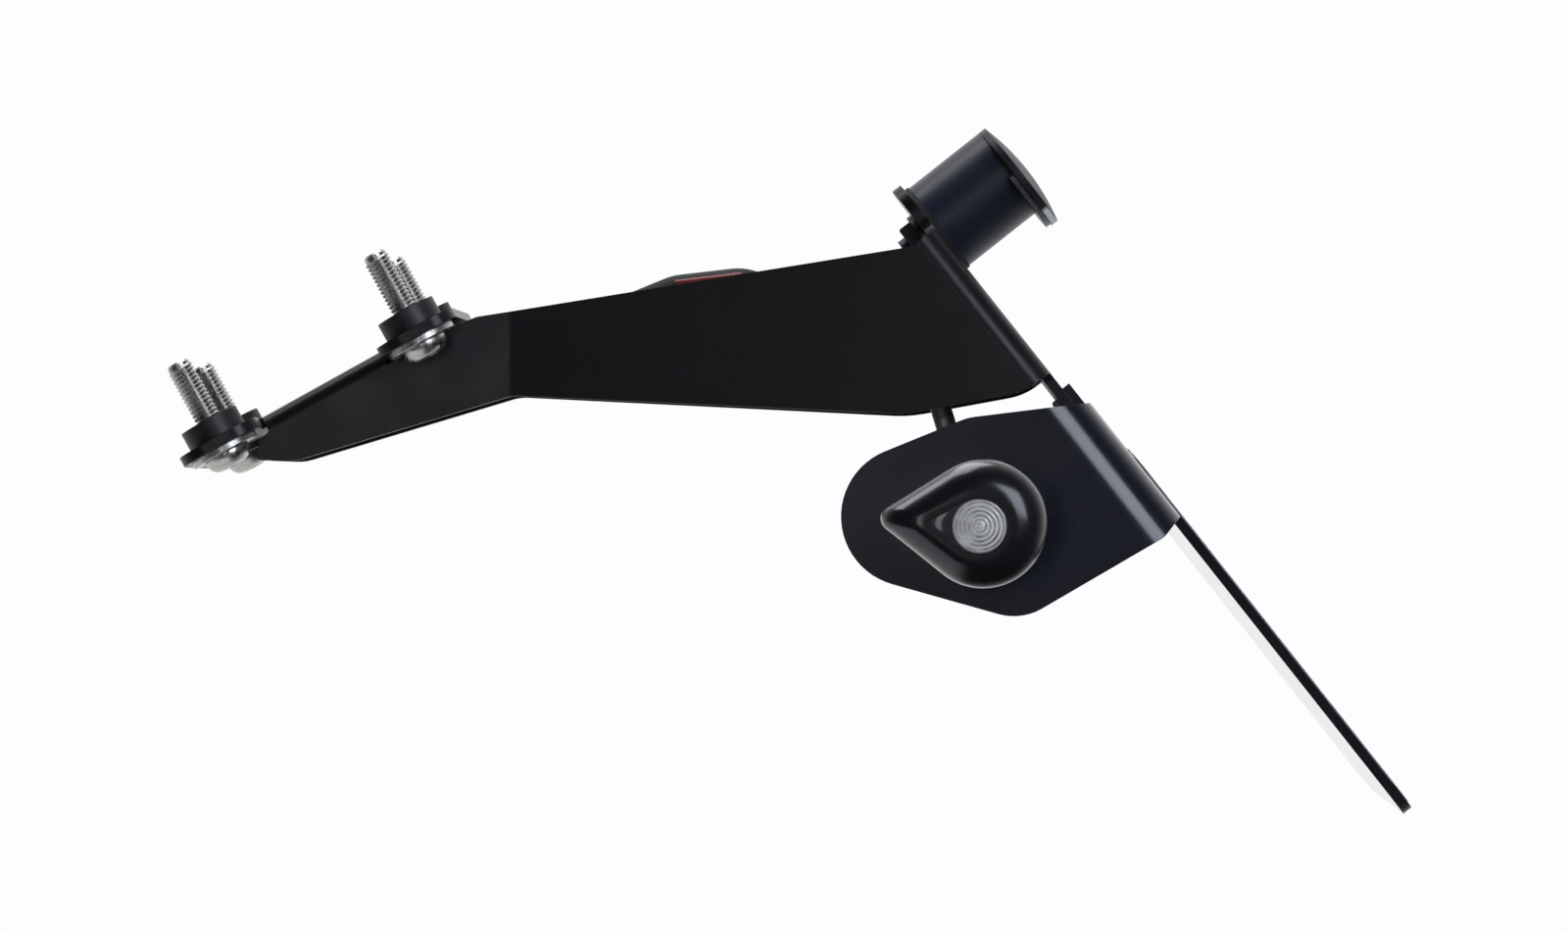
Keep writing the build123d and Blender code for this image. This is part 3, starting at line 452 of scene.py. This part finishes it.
def window_painted_ring_shade(finish):
    """Painted shade in lines along the ring prisms round a window's light centre, broken by bright
    patches of painted glint, and a painted shadow at its rim.
    """
    tree = finish.tree
    centred = tree.nodes.new("ShaderNodeMapping")
    centred.inputs["Location"].default_value = (-WINDOW[0], 0.0, -WINDOW[1])
    centred.inputs["Scale"].default_value = (1.0, 0.0, 1.0)
    tree.links.new(finish.place, centred.inputs["Vector"])
    from_middle = vector_node(tree, "LENGTH", centred.outputs["Vector"], (0, 0, 0), "Value")
    waver = noise_node(tree, finish.place, 420.0, detail=2.0)
    uneven = spread(tree, waver, -0.00016, 0.00016)
    rings = place_group(tree, THREAD, Pitch=RING_PITCH)
    tree.links.new(math_node(tree, "ADD", from_middle, uneven), rings.inputs["Distance"])
    # Painted shade: lines along the ring prisms, darker except in patches left bright as painted
    # glints
    lines = spread(tree, rings.outputs["Height"], 0.0, 1.0, start=0.12, end=0.42)
    painted_shade_patches = spread(tree, noise_node(tree, finish.place, 300.0, detail=1.0), 0.0, 1.0)
    finish.recolour(math_node(tree, "MULTIPLY", lines, painted_shade_patches), (0.34, 0.33, 0.32, 1))
    # Painted shadow of the gap round the window's rim
    rim = spread(tree, from_middle, 0.0, 1.0, start=WINDOW_R - WINDOW_RIM_SHADOW, end=WINDOW_R)
    finish.recolour(rim, (0.05, 0.05, 0.05, 1))


# Coated sheet, plate and hardware
bare_steel = linear(120, 120, 122)
arm_coat = solid_finish(
    "arm_powder_coat", linear(19, 19, 23), linear(14, 14, 17),
    rough=(0.28, 0.36), grain=900.0, depth=0.00001, edge=0.00025,
    rub=linear(42, 42, 45), specular=0.36,
)
wing_coat = solid_finish(
    "wing_powder_coat", linear(13, 16, 32), linear(9, 11, 25),
    rough=(0.25, 0.32), grain=800.0, depth=0.000006, edge=0.0003,
    rub=linear(48, 51, 62), specular=0.3, coat=0.9,
)
spacer_black = solid_finish(
    "spacer_black", linear(30, 30, 32), linear(20, 20, 22),
    rough=(0.38, 0.5), grain=1800.0, depth=0.000006, rub=bare_steel,
)
spacer_black.ridges(UP, pitch=0.0006, depth=0.00001)
bolt_steel = metal_finish(
    "bolt_stainless", (0.56, 0.54, 0.50, 1), (0.44, 0.425, 0.395, 1),
    rough=(0.16, 0.3), stretch=(500.0, 500.0, 500.0),
)
washer_steel = metal_finish(
    "washer_stainless", (0.58, 0.57, 0.54, 1), (0.46, 0.45, 0.43, 1),
    rough=(0.2, 0.36), stretch=(900.0, 90.0, 900.0),
)
zinc = zinc_finish("zinc_plate")
stud_zinc = zinc_finish("stud_zinc")
stud_zinc.ridges(OUT, pitch=0.001, depth=0.0006)
screw_zinc = zinc_finish("clip_screw_zinc")
screw_zinc.ridges(UP, pitch=0.0007, depth=0.0004)
plate_screw_steel = metal_finish(
    "plate_screw_steel", (0.56, 0.55, 0.53, 1), (0.44, 0.43, 0.42, 1),
    rough=(0.2, 0.34), stretch=(500.0, 500.0, 500.0),
)
black_zinc = solid_finish(
    "black_zinc", (0.07, 0.07, 0.075, 1), (0.035, 0.035, 0.04, 1),
    rough=(0.3, 0.42), grain=1100.0, depth=0.000008, rub=bare_steel, metallic=0.85,
)
acrylic = solid_finish(
    "plate_acrylic", linear(34, 34, 36), linear(26, 26, 28),
    rough=(0.05, 0.08), grain=300.0, depth=0.000001, edge=0.0005,
)
sheeting = solid_finish(
    "reflective_sheet", linear(234, 235, 232), linear(224, 225, 223),
    rough=(0.3, 0.42), grain=300.0, depth=0.00001,
)
seal_cells(sheeting)

# Black mouldings, rubber and wiring
lamp_black = solid_finish(
    "lamp_housing_black", linear(32, 36, 55), linear(25, 28, 43),
    rough=(0.3, 0.4), grain=1100.0, depth=0.00001,
)
hood_black = solid_finish(
    "lamp_hood_black", linear(34, 35, 38), linear(26, 27, 30),
    rough=(0.34, 0.46), grain=900.0, depth=0.000008, edge=0.0006, specular=0.35,
)
# Painted highlight on the back of the hood's lip
lip_painted_highlight(hood_black)
pod_black = solid_finish(
    "indicator_black", linear(20, 21, 24), linear(15, 16, 19),
    rough=(0.24, 0.32), grain=1100.0, depth=0.000006, specular=0.2, coat=0.9,
)
connector = solid_finish(
    "connector_black", linear(40, 40, 42), linear(30, 30, 32),
    rough=(0.42, 0.55), grain=1500.0, depth=0.00002,
)
rubber = solid_finish(
    "soft_rubber", linear(34, 34, 35), linear(23, 23, 24),
    rough=(0.6, 0.8), grain=1500.0, depth=0.00003,
)
sheath = solid_finish(
    "cable_sheath", linear(28, 28, 30), linear(19, 19, 21),
    rough=(0.45, 0.6), grain=1400.0, depth=0.00002,
)
shrink = solid_finish(
    "heat_shrink", linear(34, 34, 36), linear(24, 24, 26),
    rough=(0.35, 0.5), grain=500.0, depth=0.00008,
)
red_sheath = solid_finish(
    "red_sheath", linear(122, 18, 15), linear(86, 12, 11),
    rough=(0.35, 0.5), grain=1200.0, depth=0.00002,
)
loom_weave = solid_finish(
    "loom_weave", linear(32, 32, 34), linear(19, 19, 21),
    rough=(0.55, 0.8), grain=2600.0, depth=0.00001,
)
loom_weave.bump(loom_weave.group(WEAVE).outputs["Height"], 0.0004)

# Insides of lamp and indicators, lenses and glass
mirror_metal = metal_finish(
    "reflector_metal", (0.76, 0.76, 0.75, 1), (0.62, 0.62, 0.62, 1),
    rough=(0.16, 0.26), stretch=(300.0, 60.0, 300.0),
)
socket_plastic = solid_finish(
    "socket_plastic", linear(62, 62, 64), linear(46, 46, 48),
    rough=(0.4, 0.55), grain=1500.0, depth=0.00002,
)
chip_phosphor = solid_finish(
    "chip_phosphor", linear(232, 208, 112), linear(216, 188, 90),
    rough=(0.45, 0.6), grain=3000.0, depth=0.00001, edge=0.0001,
)
filament_wire = metal_finish(
    "filament_wire", (0.42, 0.42, 0.43, 1), (0.30, 0.30, 0.31, 1),
    rough=(0.3, 0.4), stretch=(600.0, 600.0, 600.0), edge=0.00005,
)
lens_clear = clear_finish(
    "indicator_lens_clear", (0.96, 0.96, 0.96, 1), roughness=0.04, depth=0.00001,
)
lens_clear.ridges(ACROSS, pitch=0.0025, depth=0.00022, form="Flute")
# Pale, mostly opaque window: painted light that stands for the lit inside seen through it
window_painted_lit = clear_finish(
    "indicator_window_painted_lit", (0.94, 0.93, 0.92, 1), roughness=0.1, depth=0.00001, clear=0.25,
)
# Painted ring shade and rim shadow on the window
window_painted_ring_shade(window_painted_lit)
lamp_smoked = clear_finish(
    "lamp_lens_smoked", (0.16, 0.16, 0.17, 1), roughness=0.3, depth=0.00001, clear=0.6,
)
amber_glass = clear_finish(
    "amber_bulb_glass", (0.95, 0.46, 0.08, 1), roughness=0.03, depth=0.000004, index=1.5,
)

finishes = {
    "main_bracket": arm_coat,
    "mounting_washers": washer_steel,
    "mounting_spacers": spacer_black,
    "indicator_bracket": wing_coat,
    "bracket_studs": stud_zinc,
    "bracket_washers": black_zinc,
    "bracket_nuts": black_zinc,
    "number_plate": acrylic,
    "plate_face": sheeting,
    "plate_screws": plate_screw_steel,
    "plate_washers": black_zinc,
    "plate_nuts": black_zinc,
    "lamp_gasket": rubber,
    "lamp_housing": lamp_black,
    "lamp_hood": hood_black,
    "lamp_lens": lamp_smoked,
    "lamp_chips": chip_phosphor,
    "lamp_washer": black_zinc,
    "lamp_nut": black_zinc,
    "lamp_lead": sheath,
    "loom": loom_weave,
    "loom_sleeve": shrink,
    "loom_plug": connector,
    "loom_clip": rubber,
    "clip_screw": screw_zinc,
    "clip_nut": zinc,
    "red_wire": red_sheath,
}
side_finishes = {
    "indicator_housing": pod_black,
    "indicator_lens": lens_clear,
    "indicator_reflector": mirror_metal,
    "indicator_bulb_holder": socket_plastic,
    "indicator_washer": zinc,
    "indicator_nut": zinc,
    "indicator_lead": sheath,
}
for side in SIDES:
    for name, finish in side_finishes.items():
        finishes[side + name] = finish
for name, finish in finishes.items():
    mesh = solids[name].data
    mesh.materials.clear()
    mesh.materials.append(finish.material)


# Modelled pieces


def add_piece(name, shape, finish, node, stands_for=True):
    """Object from a bmesh, riding on the part in the place of a node or beside it."""
    bmesh.ops.remove_doubles(shape, verts=shape.verts, dist=WELD)
    bmesh.ops.recalc_face_normals(shape, faces=shape.faces)
    mesh = bpy.data.meshes.new(name)
    shape.to_mesh(mesh)
    shape.free()
    for face in mesh.polygons:
        face.use_smooth = True
    mesh.set_sharp_from_angle(angle=SHARP)
    mesh.materials.append(finish.material)
    piece = bpy.data.objects.new(name, mesh)
    bpy.context.collection.objects.link(piece)
    if stands_for:
        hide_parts(node)
    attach(piece, "root")
    return piece


def verts_of(items):
    """The vertices among the results of an operator."""
    return [item for item in items if isinstance(item, bmesh.types.BMVert)]


def edges_of(items):
    """The edges among the results of an operator."""
    return [item for item in items if isinstance(item, bmesh.types.BMEdge)]


def turn_profile(shape, profile, base, axis, steps=48):
    """Surface of revolution from radius and height pairs along an axis."""
    arm = axis.orthogonal().normalized()
    points = [shape.verts.new(base + arm * radius + axis * height) for radius, height in profile]
    edges = [shape.edges.new(pair) for pair in zip(points, points[1:])]
    bmesh.ops.spin(
        shape, geom=points + edges, cent=base, axis=axis, angle=2 * pi, steps=steps, use_merge=True,
    )


def wall_and_floor(shape, edges, shift):
    """Wall from a loop of edges along a shift, closed by a floor."""
    drawn = bmesh.ops.extrude_edge_only(shape, edges=edges)["geom"]
    bmesh.ops.translate(shape, vec=shift, verts=verts_of(drawn))
    bmesh.ops.contextual_create(shape, geom=edges_of(drawn))


def wind_thread(shape, turns, base, axis, steps=28):
    """Closed helical ridge of the bolt thread that climbs an axis."""
    arm = axis.orthogonal().normalized()
    section = ((THREAD_ROOT, 0.0), (THREAD_CREST, 0.42), (THREAD_CREST, 0.58), (THREAD_ROOT, 1.0))
    corners = [
        shape.verts.new(base + arm * radius + axis * (share * THREAD_PITCH))
        for radius, share in section
    ]
    edges = [shape.edges.new(pair) for pair in zip(corners, corners[1:] + corners[:1])]
    shape.faces.new(corners)
    wound = bmesh.ops.spin(
        shape, geom=corners + edges, cent=base, axis=axis, dvec=axis * (THREAD_PITCH / steps),
        angle=2 * pi * turns, steps=steps * turns,
    )
    bmesh.ops.contextual_create(shape, geom=verts_of(wound["geom_last"]))


def quarter_round(start, end, steps=10):
    """Points of an elliptic quarter from a vertical start to a level end, without its ends."""
    turns = [pi / 2 * step / steps for step in range(1, steps)]
    (r0, h0), (r1, h1) = start, end
    return [(r1 + (r0 - r1) * cos(turn), h0 + (h1 - h0) * sin(turn)) for turn in turns]


def mounting_bolt():
    """Button head bolt with its hexagon socket and rolled thread, on the Z axis."""
    shape = bmesh.new()
    axis = Vector((0, 0, 1))
    edge, crown = (HEAD_R, HEAD_EDGE), (SOCKET_RIM, HEAD_LOW)
    profile = [
        (0, BOLT_TOP), (TIP_R, BOLT_TOP), (CORE_R, BOLT_TOP - TIP_BEVEL), (CORE_R, 0.0),
        (SHANK_R, SHANK_TOP), (SHANK_R, HEAD_SEAT),
        (HEAD_R - HEAD_BREAK, HEAD_SEAT), (HEAD_R, HEAD_SEAT - HEAD_BREAK),
        edge, *quarter_round(edge, crown), crown,
    ]
    turn_profile(shape, profile, Vector((0, 0, 0)), axis)
    bmesh.ops.remove_doubles(shape, verts=shape.verts, dist=WELD)
    rim = [item for item in shape.edges if item.is_boundary]
    mouth = Matrix.Translation((0, 0, SOCKET_MOUTH))
    bmesh.ops.create_circle(shape, segments=6, radius=SOCKET_FLATS / sqrt(3), matrix=mouth)
    hexagon = [item for item in shape.edges if item.is_wire]
    bmesh.ops.subdivide_edges(shape, edges=hexagon, cuts=7)
    socket = [item for item in shape.edges if item.is_wire]
    bmesh.ops.bridge_loops(shape, edges=rim + socket)
    wall_and_floor(shape, socket, (0, 0, SOCKET_DEPTH))
    turns = int((THREAD_END - THREAD_START) / THREAD_PITCH) - 1
    wind_thread(shape, turns, Vector((0, 0, THREAD_START)), axis)
    bmesh.ops.recalc_face_normals(shape, faces=shape.faces)
    mesh = bpy.data.meshes.new("bolt_pattern")
    shape.to_mesh(mesh)
    shape.free()
    return mesh


def all_mounting_bolts():
    """Four bolts in the ears of the main bracket."""
    shape = bmesh.new()
    pattern = mounting_bolt()
    turned = Matrix((ALONG, ACROSS, UP)).transposed().to_4x4()
    for along in (-BOLT_SPREAD, BOLT_SPREAD):
        for across in (-BOLT_SPREAD, BOLT_SPREAD):
            known = set(shape.verts)
            shape.from_mesh(pattern)
            fresh = [vert for vert in shape.verts if vert not in known]
            place = Matrix.Translation(ALONG * along + ACROSS * across) @ turned
            bmesh.ops.transform(shape, matrix=place, verts=fresh)
    bpy.data.meshes.remove(pattern)
    return add_piece("mounting_bolts_modelled", shape, bolt_steel, "mounting_bolts")


def window_outline(shape, level):
    """Edges of the window's drop shape at a level across: two arcs and their common tangents."""
    gap = Vector((WINDOW_TIP[0] - WINDOW[0], 0, WINDOW_TIP[1] - WINDOW[1]))
    half = acos((WINDOW_R - WINDOW_TIP_R) / gap.length)
    arcs = []
    for spot, radius, start, sweep, steps in (
        (WINDOW, WINDOW_R, half, 2 * pi - 2 * half, 64),
        (WINDOW_TIP, WINDOW_TIP_R, -half, 2 * half, 12),
    ):
        centre = Vector((spot[0], level, spot[1]))
        arm = Matrix.Rotation(start, 3, "Y") @ gap.normalized()
        first = shape.verts.new(centre + arm * radius)
        swept = bmesh.ops.spin(
            shape, geom=[first], cent=centre, axis=ACROSS, angle=sweep, steps=steps,
        )
        arcs.append((first, swept["geom_last"][0]))
    shape.edges.new((arcs[0][1], arcs[1][0]))
    shape.edges.new((arcs[1][1], arcs[0][0]))
    return list(shape.edges)


def side_window(side, sign):
    """Clear drop-shaped window with ring prisms round its light centre."""
    shape = bmesh.new()
    outline = window_outline(shape, sign * WINDOW_FRONT)
    centre = Vector((WINDOW[0], sign * WINDOW_FRONT, WINDOW[1]))
    prisms = [(0.0, RING_HIGH), (RING_MIDDLE, RING_HIGH)]
    for ring in range(1, RING_COUNT + 1):
        crest = ring * RING_PITCH + RING_MIDDLE
        prisms += [(crest - RING_DROP, RING_LOW), (crest, RING_HIGH)]
    prisms.append((RING_DISC, 0.0))
    turn_profile(shape, prisms, centre, ACROSS * sign, steps=64)
    bmesh.ops.remove_doubles(shape, verts=shape.verts, dist=FINE_WELD)
    disc = [item for item in shape.edges if item.is_boundary]
    bmesh.ops.triangle_fill(shape, use_beauty=True, edges=outline + disc)
    wall_and_floor(shape, outline, (0, sign * (WINDOW_BACK - WINDOW_FRONT), 0))
    return add_piece(side + "window_modelled", shape, window_painted_lit, side + "indicator_window")


def side_bulb(side, sign):
    """Amber glass bulb with its filament on two posts."""
    axis = ACROSS * sign
    foot = Vector((BULB[0], sign * BULB_FOOT, BULB[1]))
    length = BULB_END - BULB_FOOT
    glass = bmesh.new()
    shoulder, top = (BULB_R, length - BULB_R), (0.0, length)
    neck = [(0.0, 0.0), (0.0034, 0.0), (0.0034, 0.002), (0.0038, 0.003), (BULB_R, 0.005)]
    profile = [*neck, shoulder, *quarter_round(shoulder, top), top]
    turn_profile(glass, profile, foot, axis, steps=40)
    add_piece(side + "bulb_glass", glass, amber_glass, side + "indicator_bulb")
    wire = bmesh.new()
    coil_length, post = COIL_PITCH * COIL_TURNS, length * COIL_SHARE
    post_foot = foot - REARWARD * (coil_length / 2)
    heart = post_foot + axis * post
    start = heart + axis * COIL_R
    ring = bmesh.ops.create_circle(wire, segments=8, radius=WIRE_R)["verts"]
    upright = Matrix.Translation(start) @ Matrix.Rotation(pi / 2, 4, "X")
    bmesh.ops.transform(wire, matrix=upright, verts=ring)
    bmesh.ops.rotate(wire, cent=start, matrix=Matrix.Rotation(pi / 2, 3, axis), verts=ring)
    bmesh.ops.spin(
        wire, geom=ring + list(wire.edges), cent=heart, axis=REARWARD,
        dvec=REARWARD * (COIL_PITCH / COIL_STEPS), angle=2 * pi * COIL_TURNS,
        steps=COIL_STEPS * COIL_TURNS,
    )
    post_profile = [(0.0, 0.0), (WIRE_R, 0.0), (WIRE_R, post), (0.0, post)]
    for end in (0.0, coil_length):
        turn_profile(wire, post_profile, post_foot + REARWARD * end, axis, steps=12)
    return add_piece(side + "bulb_filament", wire, filament_wire, side + "indicator_bulb", False)


def side_boot(side, sign):
    """Rubber boot with two grooves between wing and indicator."""
    shape = bmesh.new()
    base = Vector((STEM[0], sign * BOOT_FOOT, STEM[1]))
    height = BOOT_END - BOOT_FOOT
    foot_lip = [(0.0127, 0.0), (0.013, 0.0003), (0.01265, 0.0013)]
    first_groove = [(0.0117, 0.0017), (0.0117, 0.0022), (0.0122, 0.0026), (0.0117, 0.0034)]
    second_groove = [(0.0108, 0.0037), (0.0108, 0.0042), (0.0110, 0.0046)]
    end_lip = [(0.0103, height - 0.0003), (0.0100, height)]
    profile = [
        (BOOT_BORE, 0.0), *foot_lip, *first_groove, *second_groove, *end_lip,
        (BOOT_BORE, height), (BOOT_BORE, 0.0),
    ]
    turn_profile(shape, profile, base, ACROSS * sign, steps=64)
    return add_piece(side + "boot_modelled", shape, rubber, side + "indicator_boot")


all_mounting_bolts()
for side, sign in SIDES.items():
    side_window(side, sign)
    side_bulb(side, sign)
    side_boot(side, sign)

# Studio: pale floor that fades into white paper, in a room that is dim on the camera's side
FLOOR_LEVEL = -0.24
FLOOR_MIDDLE, FLOOR_R = (0.14, 0.35), 0.75
PAPER = linear(252, 253, 254)
CARD = linear(38, 38, 38)  # dark card under the rear end, seen only in reflections
PART_MIDDLE = (0.14, 0.0, -0.03)


def white_rays(tree, behind):
    """Mask of the rays that meet the white paper; glossy ones only behind the part."""
    rays = tree.nodes.new("ShaderNodeLightPath")
    glossy = math_node(tree, "MULTIPLY", rays.outputs["Is Glossy Ray"], behind)
    camera_ray, clear_ray = rays.outputs["Is Camera Ray"], rays.outputs["Is Transmission Ray"]
    return math_node(tree, "MAXIMUM", math_node(tree, "MAXIMUM", camera_ray, clear_ray), glossy)


def pale_ground():
    """White paper that keeps the shadow of the part, with a dark card that only reflections show."""
    material = bpy.data.materials.new("studio_white")
    material.use_nodes = True
    tree = material.node_tree
    shaded = tree.nodes["Principled BSDF"]
    shaded.inputs["Base Color"].default_value = linear(246, 247, 248)
    shaded.inputs["Roughness"].default_value = 0.9
    shaded.inputs["Specular IOR Level"].default_value = 0.0
    glow = tree.nodes.new("ShaderNodeEmission")
    glow.inputs["Color"].default_value = PAPER
    place = tree.nodes.new("ShaderNodeTexCoord").outputs["Object"]
    depth = distance_along(tree, place, ACROSS)
    reach = vector_node(tree, "DISTANCE", place, (*FLOOR_MIDDLE, FLOOR_LEVEL), "Value")
    seen = white_rays(tree, spread(tree, depth, 0.0, 1.0, start=-0.3, end=0.5))
    fade = spread(tree, reach, 0.84, 1.0, start=0.35, end=0.72)
    white_share = math_node(tree, "MULTIPLY", seen, fade)
    paper = blend_shader(tree, white_share, shaded.outputs[0], glow.outputs[0])
    in_front = spread(tree, depth, 1.0, 0.0, start=-0.1, end=0.3)
    rearward = spread(tree, distance_along(tree, place, REARWARD), 0.0, 1.0, start=0.08, end=0.14)
    under_rear = math_node(tree, "MULTIPLY", in_front, rearward)
    glossy = tree.nodes.new("ShaderNodeLightPath").outputs["Is Glossy Ray"]
    dark = tree.nodes.new("ShaderNodeBsdfDiffuse")
    dark.inputs["Color"].default_value = CARD
    dark_share = math_node(tree, "MULTIPLY", glossy, under_rear)
    carded = blend_shader(tree, dark_share, paper, dark.outputs[0])
    from_below = tree.nodes.new("ShaderNodeNewGeometry").outputs["Backfacing"]
    nothing = tree.nodes.new("ShaderNodeBsdfTransparent").outputs[0]
    one_sided = blend_shader(tree, from_below, carded, nothing)
    tree.links.new(one_sided, tree.nodes["Material Output"].inputs["Surface"])
    return material


def lay_floor():
    """Round floor under the part."""
    shape = bmesh.new()
    place = Matrix.Translation((*FLOOR_MIDDLE, FLOOR_LEVEL))
    bmesh.ops.create_circle(shape, cap_ends=True, segments=96, radius=FLOOR_R, matrix=place)
    mesh = bpy.data.meshes.new("studio_floor")
    shape.to_mesh(mesh)
    shape.free()
    mesh.materials.append(pale_ground())
    floor = bpy.data.objects.new("studio_floor", mesh)
    bpy.context.collection.objects.link(floor)


def face_point(item, point):
    """Turns a lamp or the camera toward a point."""
    item.rotation_euler = (Vector(point) - item.location).to_track_quat("-Z", "Y").to_euler()


def softbox(name, spot, size, power, aim=PART_MIDDLE, colour=(0.94, 0.96, 1.0), mirrored=True):
    """Area lamp that faces a point; unless mirrored, reflections don't show it."""
    lamp = bpy.data.lights.new(name, "AREA")
    lamp.shape = "RECTANGLE"
    lamp.size, lamp.size_y = size
    lamp.energy = power
    lamp.color = colour
    box = bpy.data.objects.new(name, lamp)
    box.location = spot
    box.visible_glossy = mirrored
    face_point(box, aim)
    bpy.context.collection.objects.link(box)


def studio_air():
    """Soft light from all round: dim on the camera's side, white paper to the eye."""
    world = bpy.data.worlds.new("studio_air")
    world.use_nodes = True
    bpy.context.scene.world = world
    sky = world.node_tree
    soft = sky.nodes["Background"]
    soft.inputs["Color"].default_value = (0.92, 0.95, 1.0, 1.0)
    toward = sky.nodes.new("ShaderNodeSeparateXYZ")
    sky.links.new(sky.nodes.new("ShaderNodeTexCoord").outputs["Generated"], toward.inputs[0])
    behind = toward.outputs["Y"]
    sky.links.new(spread(sky, behind, 0.04, 0.5, start=-0.3, end=0.9), soft.inputs["Strength"])
    white = sky.nodes.new("ShaderNodeBackground")
    white.inputs["Color"].default_value = PAPER
    white.inputs["Strength"].default_value = 1.0
    white_share = white_rays(sky, spread(sky, behind, 0.0, 1.0, start=0.05, end=0.8))
    air = blend_shader(sky, white_share, soft.outputs[0], white.outputs[0])
    sky.links.new(air, sky.nodes["World Output"].inputs["Surface"])


def side_camera():
    """Long lens on the left, a little to the rear of the part's middle."""
    lens = bpy.data.cameras.new("side_camera")
    lens.sensor_width = 36.0
    lens.lens = 178.0
    lens.clip_end = 50.0
    camera = bpy.data.objects.new("side_camera", lens)
    camera.location = (0.2032, -2.3, -0.0408)
    face_point(camera, (0.139, 0.0, -0.029))
    bpy.context.collection.objects.link(camera)
    bpy.context.scene.camera = camera


lay_floor()
softbox("overhead", spot=(-0.25, 0.3, 1.5), size=(1.3, 1.0), power=16.0)
softbox("rear_side", spot=(1.5, -0.42, 0.96), size=(0.8, 1.2), power=16.0, mirrored=False)
softbox(
    "fold_light", spot=(1.02, -1.55, 0.57), size=(0.9, 0.9), power=12.5, colour=(0.82, 0.87, 1.0),
)
softbox(
    "front_patch", spot=(-0.22, -2.6, 0.05), size=(0.3, 0.6), power=1.6, aim=(0.02, 0.0, 0.0),
)
studio_air()
side_camera()
bpy.context.scene.view_settings.view_transform = "Standard"
